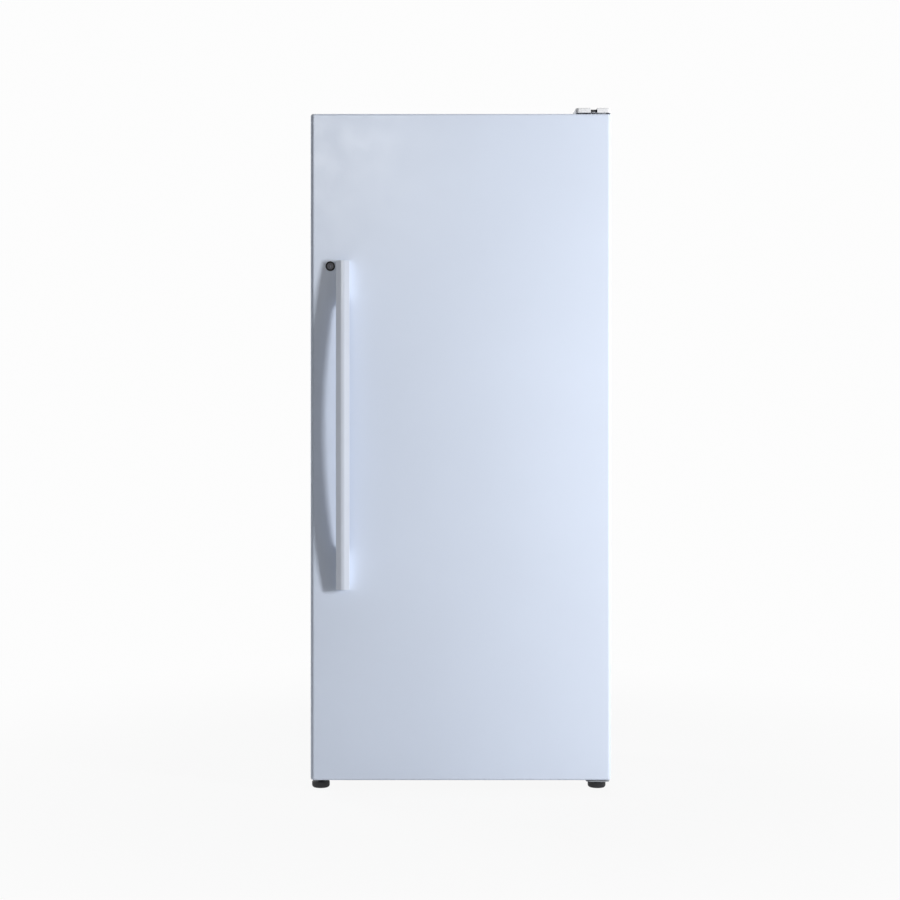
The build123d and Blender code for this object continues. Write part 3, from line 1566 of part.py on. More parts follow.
# Bottom hinge: a joggled bracket screwed under the base, with its pin pointing up
bracket_left_reach = 44.0
bracket_right_gap = 3.0
bracket_front_reach = 25.0
bracket_flange = 62.0
bracket_corner = 12.0
bracket_step_y = cabinet_front + bracket_gauge / 2
bracket_left = hinge_x - bracket_left_reach
bracket_right = half_width - bracket_right_gap
flange_low = base_clearance - bracket_gauge
low_screw_inset = 32.0
low_screw_front = 12.0
low_screw_back = 18.0
low_screw_spots = [
    (hinge_x - low_screw_inset, foot_y - low_screw_front),
    (hinge_x - low_screw_inset, foot_y + low_screw_back),
]
with BuildPart() as bottom_hinge:
    with BuildSketch(facing_right(bracket_left)):
        with BuildLine():
            Polyline(
                (hinge_y - bracket_front_reach, bracket_low),
                (bracket_step_y + bracket_gauge, bracket_low),
                (bracket_step_y + bracket_gauge, flange_low),
                (bracket_step_y + bracket_flange, flange_low),
                (bracket_step_y + bracket_flange, base_clearance),
                (bracket_step_y, base_clearance),
                (bracket_step_y, bracket_top),
                (hinge_y - bracket_front_reach, bracket_top),
                close=True,
            )
        make_face()
    extrude(amount=bracket_right - bracket_left)
    front_corners = bottom_hinge.edges().filter_by(Axis.Z).group_by(Axis.Y)[0]
    fillet(front_corners, radius=bracket_corner)
    with BuildSketch(Plane.XY.offset(bracket_low)):
        with Locations((hinge_x, hinge_y)):
            Circle(hinge_pin_radius)
    extrude(amount=bracket_gauge + hinge_pin_reach)
    with BuildSketch(Plane.XY.offset(bracket_low)):
        with Locations((foot_x, foot_y)):
            Circle(stud_radius + 2 * fit_gap)
        with Locations(*low_screw_spots):
            Circle(screw_radius + bond_gap)
    extrude(amount=base_clearance - bracket_low, mode=Mode.SUBTRACT)
save(bottom_hinge.part, "bottom_hinge")

# Hinge screws: three hexagon heads with washers at the top, two hexagon heads at the
# bottom, and the large round head that holds the cover
with BuildPart() as hinge_screws:
    with BuildSketch(Plane.XY.offset(plate_top)):
        with Locations(*top_screw_spots):
            Circle(washer_radius)
    extrude(amount=washer_gauge)
    with BuildSketch(Plane.XY.offset(plate_top + washer_gauge)):
        with Locations(*top_screw_spots):
            RegularPolygon(screw_head_width / 2, 6, major_radius=False)
    extrude(amount=screw_head_height)
    with BuildSketch(Plane.XY.offset(cabinet_top)):
        with Locations(*top_screw_spots):
            Circle(screw_radius)
    extrude(amount=hinge_plate)
    with BuildSketch(Plane.XY.offset(cabinet_top)):
        with Locations(cover_screw_spot):
            Circle(screw_radius)
    extrude(amount=hinge_plate)
    with BuildSketch(Plane.XY.offset(plate_top)):
        with Locations(cover_screw_spot):
            Circle(cover_screw_head_radius)
    extrude(amount=cover_screw_head_height, taper=cover_screw_taper)
    with BuildSketch(Plane.XY.offset(flange_low)):
        with Locations(*low_screw_spots):
            RegularPolygon(screw_head_width / 2, 6, major_radius=False)
    extrude(amount=-screw_head_height)
    with BuildSketch(Plane.XY.offset(flange_low)):
        with Locations(*low_screw_spots):
            Circle(screw_radius)
    extrude(amount=bracket_gauge)
save(hinge_screws.part, "hinge_screws")

# Top hinge cover: a thin moulded cap with a notch at its front around the cover screw
cover_cap_width = 95.5
cover_cap_length = 168.0
cover_cap_height = 13.0
cover_cap_wall = 1.8
cover_cap_corner = 10.0
cover_cap_setback = 5.0
cover_cap_edge = 2.5
notch_width = 17.0
notch_depth = 22.0
cap_front = door_front + cover_cap_setback
cap_left = half_width - cover_cap_width
with BuildPart() as top_hinge_cover:
    with BuildSketch(Plane.XY.offset(cabinet_top)):
        with Locations((half_width - cover_cap_width / 2, cap_front + cover_cap_length / 2)):
            RectangleRounded(cover_cap_width, cover_cap_length, cover_cap_corner)
    extrude(amount=cover_cap_height)
    fillet(top_hinge_cover.faces().sort_by(Axis.Z)[-1].edges(), radius=cover_cap_edge)
    offset(amount=-cover_cap_wall, openings=top_hinge_cover.faces().sort_by(Axis.Z)[0])
    with BuildSketch(Plane.XY.offset(cabinet_top)):
        with Locations((cover_screw_spot[0], cap_front + notch_depth / 2 - overcut)):
            Rectangle(notch_width, notch_depth + overcut)
    extrude(amount=cover_cap_height, mode=Mode.SUBTRACT)
save(top_hinge_cover.part, "top_hinge_cover")
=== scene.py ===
# %% [markdown]
# # An upright refrigerator in plain studio light
# The engineering model is loaded first and stays where it is. It carries the sizes and the moving
# bodies, so every visible piece made below takes its place from it. The axes are the model's own:
# X across the front, Y from the door to the back, Z up, all in metres.

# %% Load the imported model
import json
from math import cos, pi, radians, sin, sqrt, tan

import bmesh
import bpy
from mathutils import Matrix, Vector

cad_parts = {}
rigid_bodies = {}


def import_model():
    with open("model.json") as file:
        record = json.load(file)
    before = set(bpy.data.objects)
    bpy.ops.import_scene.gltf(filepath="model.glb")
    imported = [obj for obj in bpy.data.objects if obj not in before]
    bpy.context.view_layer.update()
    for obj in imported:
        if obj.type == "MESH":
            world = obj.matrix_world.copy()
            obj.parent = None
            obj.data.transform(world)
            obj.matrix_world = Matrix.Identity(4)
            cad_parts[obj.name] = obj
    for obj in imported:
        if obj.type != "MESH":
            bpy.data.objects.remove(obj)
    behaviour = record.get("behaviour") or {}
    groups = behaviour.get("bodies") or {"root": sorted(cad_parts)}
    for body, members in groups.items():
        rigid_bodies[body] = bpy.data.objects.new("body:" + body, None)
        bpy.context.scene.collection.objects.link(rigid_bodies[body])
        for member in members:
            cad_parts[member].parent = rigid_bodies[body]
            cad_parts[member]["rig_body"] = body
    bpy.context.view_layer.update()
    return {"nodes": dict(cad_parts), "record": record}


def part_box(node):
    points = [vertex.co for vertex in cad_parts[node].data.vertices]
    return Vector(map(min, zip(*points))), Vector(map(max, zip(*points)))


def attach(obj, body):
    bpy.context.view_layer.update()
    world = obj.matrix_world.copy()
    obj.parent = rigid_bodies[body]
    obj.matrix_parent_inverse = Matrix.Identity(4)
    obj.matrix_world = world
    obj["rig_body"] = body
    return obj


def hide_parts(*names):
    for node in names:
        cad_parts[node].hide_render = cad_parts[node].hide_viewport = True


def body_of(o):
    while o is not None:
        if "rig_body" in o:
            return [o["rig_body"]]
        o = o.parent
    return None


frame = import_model()

# %% [markdown]
# ## Where the photographer stood
# The door's long edges are upright in the photograph and its top edge is level, so the camera
# looked straight at the door from about half its height. The feet sit a little to the left of the
# door's middle, which puts the lens about a quarter of a metre to the left. The camera could be
# turned to bring the door into the middle, but then its edges would lean. Shifting the lens
# sideways keeps them parallel.

# %% The camera
scene = bpy.context.scene
door_low, door_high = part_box("door_panel")
door_width = door_high.x - door_low.x
photo_size = 900
door_left_px = 310.5
door_right_px = 611.5
door_middle_py = 447.0
camera_distance = 4.2
camera_x = -0.25

pixels_per_metre = (door_right_px - door_left_px) / door_width
view_width = photo_size / pixels_per_metre
door_middle_px = (door_left_px + door_right_px) / 2
lens_data = bpy.data.cameras.new("studio_camera")
lens_data.lens = lens_data.sensor_width * camera_distance / view_width
lens_data.shift_x = (photo_size / 2 - camera_x * pixels_per_metre - door_middle_px) / photo_size
camera = bpy.data.objects.new("studio_camera", lens_data)
drop = (photo_size / 2 - door_middle_py) / pixels_per_metre
camera_z = (door_low.z + door_high.z) / 2 - drop
camera.location = (camera_x, door_low.y - camera_distance, camera_z)
camera.rotation_euler = (radians(90), 0, 0)
scene.collection.objects.link(camera)
bpy.context.scene.camera = camera
print("lens", round(lens_data.lens, 1), "mm, shift", round(lens_data.shift_x, 3))

# %% [markdown]
# ## Light
# The handle throws a hard-edged shadow to its left, nearly twice as wide as the handle is proud of
# the door, so the key lamp stands well round to the right, a little above the handle, and is small
# for its distance. A larger lamp would light the door more evenly, but would blur that shadow.
# Mirrored in the paint the lamp would burn a patch out of the door in other views, so reflections
# don't see it. A broad lamp above the camera and an even world fill the rest.

# %% Key and fill
def area_lamp(name, spot, aim, width, height, power):
    """A rectangular lamp at a spot, pointed at a target."""
    data = bpy.data.lights.new(name, "AREA")
    data.shape = "RECTANGLE"
    data.size = width
    data.size_y = height
    data.energy = power
    lamp = bpy.data.objects.new(name, data)
    lamp.location = spot
    lamp.rotation_euler = (Vector(aim) - Vector(spot)).to_track_quat("-Z", "Y").to_euler()
    scene.collection.objects.link(lamp)
    return lamp


door_centre = Vector((0, door_low.y, (door_low.z + door_high.z) / 2))
key_angle = radians(56)
key_distance = 4.3
key_rise = 0.40
key_place = door_centre + Vector(
    (sin(key_angle) * key_distance, -cos(key_angle) * key_distance, key_rise)
)
key_lamp = area_lamp("key_lamp", key_place, door_centre, width=0.65, height=1.0, power=190)
key_lamp.visible_glossy = False
fill_place = (-1.0, -3.2, 2.8)
area_lamp("fill_lamp", fill_place, door_centre, width=1.8, height=1.8, power=5.5)
print("key lamp at", [round(value, 2) for value in key_place])

# %% [markdown]
# ## Sheen, back and roof
# The paint mirrors something pale at its top left corner. A lamp that only reflections see gives
# that soft sheen without lightening the door. Two more lamps stand behind on the left and over the
# roof. They can't reach the door's face, and give the back, the left side and the roof a plain
# level of light in other views.

# %% Sheen, back and top lamps
sheen_place = (-0.62, -3.28, 2.68)
sheen_aim = (door_low.x, door_low.y, door_high.z)
sheen_lamp = area_lamp("sheen_lamp", sheen_place, sheen_aim, width=0.9, height=0.6, power=22)
sheen_lamp.visible_diffuse = False
back_place, back_aim = (-3.2, 2.6, 2.1), (0, 0.1, 0.9)
back_lamp = area_lamp("back_lamp", back_place, back_aim, width=1.8, height=1.8, power=125)
back_lamp.visible_glossy = False
top_place, top_aim = (0.1, 0.6, 3.4), (0.1, 0.3, 0)
area_lamp("top_lamp", top_place, top_aim, width=1.4, height=1.0, power=10)

# %% [markdown]
# ## A white room
# The background of the photograph is pure white. A white world would give that at once, but it
# would also pour light on the refrigerator and wash out its paint. Here only rays from the camera,
# mirrors and glass see the white, and the light that falls on surfaces comes from a dimmer world.

# %% World
scene.view_settings.view_transform = "Standard"
ambient_level = 0.072
white_level = 0.98


def set_sockets(node, values):
    """Gives a shader node's sockets their values by name."""
    for socket, value in values.items():
        node.inputs[socket].default_value = value


def sees_white(tree):
    """One for camera, mirror and glass rays, and zero for light that falls on surfaces."""
    path = tree.nodes.new("ShaderNodeLightPath")
    total = path.outputs["Is Camera Ray"]
    for kind in ("Is Glossy Ray", "Is Transmission Ray"):
        either = tree.nodes.new("ShaderNodeMath")
        either.operation = "MAXIMUM"
        tree.links.new(total, either.inputs[0])
        tree.links.new(path.outputs[kind], either.inputs[1])
        total = either.outputs[0]
    return total


world = bpy.data.worlds.new("white_room")
scene.world = world
world.use_nodes = True
tree = world.node_tree
background = tree.nodes["Background"]
set_sockets(background, {"Color": (1, 1, 1, 1)})
level = tree.nodes.new("ShaderNodeMapRange")
set_sockets(level, {"To Min": ambient_level, "To Max": white_level})
tree.links.new(sees_white(tree), level.inputs["Value"])
tree.links.new(level.outputs["Result"], background.inputs["Strength"])
print("world", ambient_level, "on surfaces,", white_level, "to the eye")

# %% [markdown]
# ## A floor that keeps the shadow
# Under the feet is a plain floor, one large face. A shadow catcher could hold the shadow alone, but
# then the white behind it would have to be added afterwards. A real face is simpler.

# %% Floor
floor_half = 14.0
floor_mesh = bmesh.new()
bmesh.ops.create_grid(floor_mesh, x_segments=1, y_segments=1, size=floor_half)
floor_data = bpy.data.meshes.new("floor")
floor_mesh.to_mesh(floor_data)
floor_mesh.free()
floor = bpy.data.objects.new("floor", floor_data)
scene.collection.objects.link(floor)
print("floor", 2 * floor_half, "m wide")

# %% [markdown]
# ## The floor's finish
# The floor fades into the room's white with distance, so no horizon shows. A curved backdrop would
# hide the horizon too, but would take light and room behind the refrigerator. Near the feet the
# floor stays partly a matte surface, which is what lets it show the contact shadow.

# %% Floor finish
floor_grey = 0.62
fade_start = 0.7
fade_end = 2.4
near_white = 0.94
floor_material = bpy.data.materials.new("pale_floor")
floor_material.use_nodes = True
tree = floor_material.node_tree
matte = tree.nodes["Principled BSDF"]
set_sockets(matte, {
    "Base Color": (floor_grey, floor_grey, floor_grey, 1),
    "Roughness": 0.9,
    "Specular IOR Level": 0.1,
})
position = tree.nodes.new("ShaderNodeNewGeometry")
reach = tree.nodes.new("ShaderNodeVectorMath")
reach.operation = "LENGTH"
tree.links.new(position.outputs["Position"], reach.inputs[0])
fade = tree.nodes.new("ShaderNodeMapRange")
fade.interpolation_type = "SMOOTHSTEP"
set_sockets(fade, {"From Min": fade_start, "From Max": fade_end, "To Min": near_white})
tree.links.new(reach.outputs["Value"], fade.inputs["Value"])
share = tree.nodes.new("ShaderNodeMath")
share.operation = "MULTIPLY"
tree.links.new(fade.outputs["Result"], share.inputs[0])
tree.links.new(sees_white(tree), share.inputs[1])
glow = tree.nodes.new("ShaderNodeEmission")
set_sockets(glow, {"Strength": white_level})
blend = tree.nodes.new("ShaderNodeMixShader")
tree.links.new(share.outputs[0], blend.inputs["Fac"])
tree.links.new(matte.outputs["BSDF"], blend.inputs[1])
tree.links.new(glow.outputs["Emission"], blend.inputs[2])
tree.links.new(blend.outputs["Shader"], tree.nodes["Material Output"].inputs["Surface"])
floor_data.materials.append(floor_material)
print("floor fades to white between", fade_start, "and", fade_end, "m")

# %% [markdown]
# ## How the finishes are built
# Each finish starts from the same shader and gets the small unevenness that the real one has:
# orange peel in paint, a fine grain on moulded plastic, spangle on zinc. Photographed textures
# could do this, but would need unwrapping. These patterns are worked out from object coordinates,
# so they have a real size in metres on any shape. One helper starts a finish, and one makes a
# noise pattern.

# %% Helpers for finishes
def new_finish(name, colour, roughness, metallic=0.0):
    """A material with its main shader set, returned with its node tree and that shader."""
    finish = bpy.data.materials.new(name)
    finish.use_nodes = True
    shader = finish.node_tree.nodes["Principled BSDF"]
    set_sockets(shader, {
        "Base Color": (*colour, 1), "Roughness": roughness, "Metallic": metallic,
    })
    return finish, finish.node_tree, shader


def noise(tree, grain_size, detail=2.0, stretch=(1, 1, 1)):
    """A noise pattern whose grains are grain_size metres across, drawn out by stretch."""
    coordinates = tree.nodes.new("ShaderNodeTexCoord")
    mapping = tree.nodes.new("ShaderNodeMapping")
    set_sockets(mapping, {"Scale": [1 / factor for factor in stretch]})
    pattern = tree.nodes.new("ShaderNodeTexNoise")
    set_sockets(pattern, {"Scale": 1 / grain_size, "Detail": detail})
    tree.links.new(coordinates.outputs["Object"], mapping.inputs["Vector"])
    tree.links.new(mapping.outputs["Vector"], pattern.inputs["Vector"])
    return pattern.outputs["Fac"]


print("finishes read object coordinates, in metres")

# %% [markdown]
# ## What a pattern changes
# On real surfaces the gloss drifts, the tone drifts and the surface itself is uneven. Plain numbers
# on the shader would make every part look like the same clean plastic. So one helper moves a colour
# or a roughness between two values with the pattern, and one turns the pattern into a bump of a
# given depth. Noise seldom leaves its middle range, so only that range is used.

# %% Helpers for drift and relief
noise_low = 0.3
noise_high = 0.7


def vary(tree, pattern, socket, low, high):
    """Moves a socket of the shader between two numbers or two colours with the pattern."""
    if isinstance(low, (int, float)):
        node = tree.nodes.new("ShaderNodeMapRange")
        set_sockets(node, {
            "From Min": noise_low, "From Max": noise_high, "To Min": low, "To Max": high,
        })
        tree.links.new(pattern, node.inputs["Value"])
        tree.links.new(node.outputs["Result"], socket)
        return
    node = tree.nodes.new("ShaderNodeValToRGB")
    first, last = node.color_ramp.elements
    first.position, last.position = noise_low, noise_high
    first.color, last.color = (*low, 1), (*high, 1)
    tree.links.new(pattern, node.inputs["Fac"])
    tree.links.new(node.outputs["Color"], socket)


def vary_about(tree, pattern, shader, roughness, less, more):
    """Lets the roughness drift with the pattern, by less below its value and more above it."""
    vary(tree, pattern, shader.inputs["Roughness"], roughness - less, roughness + more)


def tint(tree, pattern, shader, colour, darker, lighter=1.0):
    """Lets the colour drift with the pattern between a darker and a lighter shade of it."""
    shades = [tuple(min(1.0, value * share) for value in colour) for share in (darker, lighter)]
    vary(tree, pattern, shader.inputs["Base Color"], *shades)


def relief(tree, pattern, shader, depth):
    """Turns the pattern into a bump of the given depth in metres."""
    bump = tree.nodes.new("ShaderNodeBump")
    set_sockets(bump, {"Distance": depth})
    tree.links.new(pattern, bump.inputs["Height"])
    tree.links.new(bump.outputs["Normal"], shader.inputs["Normal"])


print("patterns are read from", noise_low, "to", noise_high)

# %% [markdown]
# ## Paint on sheet steel
# The door is steel painted in a cool white. Baked paint isn't flat: it draws together into soft
# humps a couple of millimetres wide, the orange peel that breaks up reflections. A plain glossy
# shader would look like plastic, so the peel is a shallow bump. The cabinet's sides are commonly a
# prepainted sheet with a tighter, deeper pebble. Their paint is a shade greyer than the door's,
# which
# is painted shade: it keeps the sides, where the key lamp falls squarely, from turning white.

# %% Paints
def painted_steel(name, colour, roughness, peel_size, peel_depth):
    """Baked paint: even colour with a slow drift, and orange peel."""
    finish, tree, shader = new_finish(name, colour, roughness)
    tint(tree, noise(tree, 0.35, detail=1.0), shader, colour, darker=0.985, lighter=1.01)
    vary_about(tree, noise(tree, 0.06), shader, roughness, less=0.03, more=0.04)
    relief(tree, noise(tree, peel_size, detail=1.0), shader, peel_depth)
    return finish


finish_of = {}
# Each row: colour, roughness, width of the peel's humps, their depth.
paints = {
    "door_paint": ((0.735, 0.81, 0.95), 0.36, 0.0026, 0.000018),
    # The cabinet's paint is greyer than the door's: painted shade for the sides that face the key
    # lamp.
    "cabinet_paint": ((0.66, 0.70, 0.76), 0.42, 0.0015, 0.00004),
    "hinge_paint": ((0.30, 0.315, 0.34), 0.42, 0.0018, 0.00002),
    "back_paint": ((0.34, 0.355, 0.37), 0.5, 0.002, 0.00003),
    "compressor_black": ((0.012, 0.012, 0.013), 0.34, 0.003, 0.00003),
    "dark_fastener": ((0.025, 0.022, 0.022), 0.4, 0.001, 0.00001),
}
for name, row in paints.items():
    finish_of[name] = painted_steel(name, *row)
print("paints", len(paints))

# %% [markdown]
# ## Moulded plastics
# Moulded parts carry a very fine spark-eroded grain from the tool. Each part could have a material
# built for it alone, but they differ only in colour, gloss and grain. So there is one recipe, and
# a table gives every part its own numbers.

# %% Moulded plastics
def moulded_plastic(name, colour, roughness, grain=0.0007, depth=0.000012):
    """Injection-moulded plastic with the tool's fine grain."""
    finish, tree, shader = new_finish(name, colour, roughness)
    vary_about(tree, noise(tree, 0.05), shader, roughness, less=0.04, more=0.05)
    tint(tree, noise(tree, 0.12), shader, colour, darker=0.97)
    relief(tree, noise(tree, grain, detail=1.0), shader, depth)
    return finish


# Each row: colour, roughness and, where it isn't the usual one, the grain's width and depth.
plastics = {
    "handle_plastic": ((0.69, 0.74, 0.84), 0.34),
    "cover_plastic": ((0.87, 0.88, 0.90), 0.45),
    "lock_bezel": ((0.07, 0.07, 0.08), 0.4),
    "bush_plastic": ((0.60, 0.61, 0.63), 0.4),
    "foot_black": ((0.012, 0.012, 0.014), 0.55, 0.001, 0.00003),
    "roller_nylon": ((0.35, 0.35, 0.355), 0.45),
    "relay_plastic": ((0.03, 0.03, 0.033), 0.5),
    "fan_plastic": ((0.09, 0.095, 0.1), 0.4),
    "drain_plastic": ((0.42, 0.44, 0.46), 0.45),
    "frame_plastic": ((0.74, 0.77, 0.80), 0.32),
    "bin_plastic": ((0.74, 0.79, 0.83), 0.22, 0.0012, 0.000006),
    "basket_plastic": ((0.74, 0.78, 0.82), 0.34),
    "knob_plastic": ((0.66, 0.69, 0.72), 0.38),
    "switch_plastic": ((0.58, 0.60, 0.62), 0.4),
}
for name, row in plastics.items():
    finish_of[name] = moulded_plastic(name, *row)
print("moulded plastics", len(plastics))

# %% [markdown]
# ## Drawn sheet and rubber
# Parts that are drawn from a hot sheet, such as the liners, have no grain. They keep a slow
# waviness instead and shine a little more, which a wide, shallow bump gives. Rubber is dull and
# dusty: its colour varies where it has been touched, so its noise is the finer one.

# %% Drawn sheet and rubber
def drawn_plastic(name, colour, roughness):
    """Vacuum-formed sheet: glossy, with a slow waviness."""
    finish, tree, shader = new_finish(name, colour, roughness)
    tint(tree, noise(tree, 0.2), shader, colour, darker=0.975)
    vary_about(tree, noise(tree, 0.1), shader, roughness, less=0.03, more=0.04)
    relief(tree, noise(tree, 0.05, detail=1.0), shader, depth=0.00012)
    return finish


def soft_rubber(name, colour, roughness=0.62):
    """Dull rubber with dust in its pores."""
    finish, tree, shader = new_finish(name, colour, roughness)
    tint(tree, noise(tree, 0.02, detail=4.0), shader, colour, darker=0.96, lighter=1.03)
    relief(tree, noise(tree, 0.0009), shader, depth=0.00002)
    return finish


finish_of["liner_plastic"] = drawn_plastic("liner_plastic", (0.76, 0.79, 0.82), 0.33)
finish_of["gasket_rubber"] = soft_rubber("gasket_rubber", (0.62, 0.65, 0.68))
finish_of["grommet_rubber"] = soft_rubber("grommet_rubber", (0.02, 0.02, 0.02))
print("finishes so far", len(finish_of))

# %% [markdown]
# ## Zinc-coated sheet
# Zinc-coated sheet shows its spangle, crystals a centimetre across that differ slightly in tone.
# Noise would do for the tones, but its patches melt into each other. A cell pattern has the same
# flat patches with sharp borders as the crystals.

# %% Zinc-coated sheet
spangle_size = 0.011


def cells(tree, cell_size):
    """Flat patches of random tone, cell_size metres across."""
    coordinates = tree.nodes.new("ShaderNodeTexCoord")
    pattern = tree.nodes.new("ShaderNodeTexVoronoi")
    set_sockets(pattern, {"Scale": 1 / cell_size})
    tree.links.new(coordinates.outputs["Object"], pattern.inputs["Vector"])
    return pattern.outputs["Color"]


def spangled_zinc(name, colour, roughness):
    """Galvanised sheet with its crystal pattern."""
    finish, tree, shader = new_finish(name, colour, roughness, metallic=1.0)
    tint(tree, cells(tree, spangle_size), shader, colour, darker=0.86, lighter=1.1)
    vary_about(tree, noise(tree, 0.004), shader, roughness, less=0.06, more=0.08)
    return finish


print("spangle of", spangle_size, "m")

# %% [markdown]
# ## Turned and drawn metals
# Screws, axles, tubes and fins have no spangle, only the fine lines that the tool left along them.
# The shader's own anisotropy could stretch their highlights, but shows no lines from close by. So
# their noise is drawn out along their length. Copper tube is darker where it has tarnished.

# %% Metals
line_width = 0.0008
along_x = (12, 1, 1)
along_z = (1, 1, 12)


def drawn_metal(name, colour, roughness, stretch=along_z):
    """Bright metal with fine lines along its length."""
    finish, tree, shader = new_finish(name, colour, roughness, metallic=1.0)
    lines = noise(tree, line_width, detail=3.0, stretch=stretch)
    tint(tree, noise(tree, 0.015, detail=3.0), shader, colour, darker=0.85, lighter=1.08)
    vary_about(tree, lines, shader, roughness, less=0.06, more=0.08)
    relief(tree, lines, shader, depth=0.00001)
    return finish


# Each row: recipe, colour, roughness and, for lines along X, their direction.
metals = {
    "galvanised": (spangled_zinc, (0.52, 0.54, 0.56), 0.42),
    "motor_steel": (spangled_zinc, (0.42, 0.43, 0.44), 0.38),
    "lock_metal": (drawn_metal, (0.045, 0.045, 0.05), 0.4),
    "strike_steel": (drawn_metal, (0.50, 0.51, 0.52), 0.4),
    "zinc_screw": (drawn_metal, (0.60, 0.61, 0.62), 0.36),
    "axle_steel": (drawn_metal, (0.55, 0.55, 0.57), 0.36, along_x),
    "copper": (drawn_metal, (0.72, 0.36, 0.22), 0.36, along_x),
    "fin_aluminium": (drawn_metal, (0.78, 0.79, 0.80), 0.35),
}
for name, (recipe, *row) in metals.items():
    finish_of[name] = recipe(name, *row)
print("metals", len(metals))

# %% [markdown]
# ## Glass, lamp and foam
# The shelves are toughened glass, clear and a little green. The lamp's lens is clear plastic with a
# painted glow: it glows softly of its own at all times, standing in for the bulb's light shining
# through it, because the bulb behind it is too small to light it evenly. The foam between the walls
# is never seen from outside, and is still given its own cream colour and cells.

# %% Glass and foam
def clear_glass(name, colour, roughness, ior=1.5):
    """Clear sheet or moulding that light passes through."""
    finish, tree, shader = new_finish(name, colour, roughness)
    set_sockets(shader, {"Transmission Weight": 1.0, "IOR": ior})
    vary_about(tree, noise(tree, 0.05), shader, roughness, less=0, more=0.03)
    return finish


# Each row: colour, roughness and, where it isn't window glass, the index of refraction.
glasses = {
    "shelf_glass": ((0.86, 0.95, 0.92), 0.01),
    "lamp_glass": ((0.97, 0.96, 0.93), 0.22, 1.45),
    "lens_plastic": ((0.94, 0.95, 0.96), 0.18, 1.49),
}
for name, row in glasses.items():
    finish_of[name] = clear_glass(name, *row)
warm_white = (1.0, 0.95, 0.87)
# Painted glow on the lens: emission that stands in for the bulb's light shining through it.
lens_painted_glow = 0.6
lens_shader = finish_of["lens_plastic"].node_tree.nodes["Principled BSDF"]
set_sockets(lens_shader, {"Emission Color": (*warm_white, 1), "Emission Strength": lens_painted_glow})
finish_of["foam"], foam_tree, foam_shader = new_finish("foam", (0.80, 0.70, 0.45), 0.9)
relief(foam_tree, noise(foam_tree, 0.002, detail=4.0), foam_shader, 0.0004)
print("finishes in all", len(finish_of))

# %% [markdown]
# ## Every engineering node gets its finish
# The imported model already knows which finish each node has, by its slot's name, so one loop puts
# the procedural finish of the same name on every node. The pieces made further on replace some of
# these nodes and reuse the same finishes.

# %% Finishes onto the nodes
slot_of = {item["node"]: item["material_slot"] for item in frame["record"]["subparts"]}
for node, thing in frame["nodes"].items():
    thing.material_slots[0].material = finish_of[slot_of[node]]
print("finishes on", len(slot_of), "nodes")

# %% [markdown]
# ## From a mesh to a piece
# Every piece that follows is shaped as a bmesh and ends in the same way: its normals point out, its
# sharp edges stay sharp while the rest is smooth, it gets its finish, it rides on its moving body
# and hides the engineering nodes that it stands for. One helper does that. Two small ones shape
# plain blocks: a box between two corners, and a fillet along chosen edges.

# %% Helpers for every piece
def place(mesh, name, finish_name, *nodes, body=None, smooth_angle=32):
    """Turns a finished mesh into a piece that rides on its body and stands for the nodes."""
    finish = finish_of[finish_name]
    bmesh.ops.recalc_face_normals(mesh, faces=mesh.faces)
    data = bpy.data.meshes.new(name)
    mesh.to_mesh(data)
    mesh.free()
    data.shade_smooth()
    data.set_sharp_from_angle(angle=radians(smooth_angle))
    data.materials.append(finish)
    piece = bpy.data.objects.new(name, data)
    scene.collection.objects.link(piece)
    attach(piece, body or body_of(frame["nodes"][nodes[0]])[0])
    if nodes:
        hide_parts(*nodes)
    return piece


def block(mesh, low, high):
    """A box between two corners."""
    low, high = Vector(low), Vector(high)
    shape = Matrix.Translation((low + high) / 2) @ Matrix.Diagonal((*(high - low), 1))
    bmesh.ops.create_cube(mesh, size=1, matrix=shape)


def round_edges(mesh, edges, radius, segments):
    """Rounds the given edges with a fillet of that radius."""
    bmesh.ops.bevel(
        mesh, geom=edges, offset=radius, segments=segments, profile=0.5, affect="EDGES",
        material=-1,
    )


print("pieces take one of", len(finish_of), "finishes")

# %% [markdown]
# ## The door's skin
# The skin is one steel pan: the long front edges are rolled to a generous radius and the short
# ones to a tight one, and the back is left open for the foam and the liner. A Bevel modifier would
# give all edges one radius. So a cube gets its two kinds of rounding one after the other, loses its
# back face, and is thickened to sheet gauge.

# %% Door skin
long_edge_radius = 0.011
short_edge_radius = 0.006
skin_gauge = 0.0008
square_corner = radians(80)
mesh = bmesh.new()
block(mesh, door_low, door_high)
long_edges = [
    edge for edge in mesh.edges
    if all(vert.co.y < door_low.y + skin_gauge for vert in edge.verts)
    and abs(edge.verts[0].co.z - edge.verts[1].co.z) > door_width
]
round_edges(mesh, long_edges, long_edge_radius, segments=10)
short_edges = [
    edge for edge in mesh.edges
    if len(edge.link_faces) == 2
    and edge.calc_face_angle() > square_corner
    and all(vert.co.y < door_high.y - skin_gauge for vert in edge.verts)
]
round_edges(mesh, short_edges, short_edge_radius, segments=6)
bmesh.ops.recalc_face_normals(mesh, faces=mesh.faces)
back_faces = [face for face in mesh.faces if face.normal.y > 0.99]
bmesh.ops.delete(mesh, geom=back_faces, context="FACES")
door_skin = place(mesh, "door_skin", "door_paint", "door_panel")
gauge = door_skin.modifiers.new("gauge", "SOLIDIFY")
gauge.thickness = skin_gauge
gauge.offset = -1
print("door skin", len(door_skin.data.polygons), "faces")

# %% [markdown]
# ## Outlines joined into a skin
# Long shapes whose section changes are easiest to describe as a row of closed outlines, each joined
# to the next by bridging. The same helper closes a row into a ring, for a frame or a gasket. Round
# brows and fillets in such outlines are quarter circles. The last helper breaks a piece's sharp
# edges with a narrow bevel, as a press or a mould does.

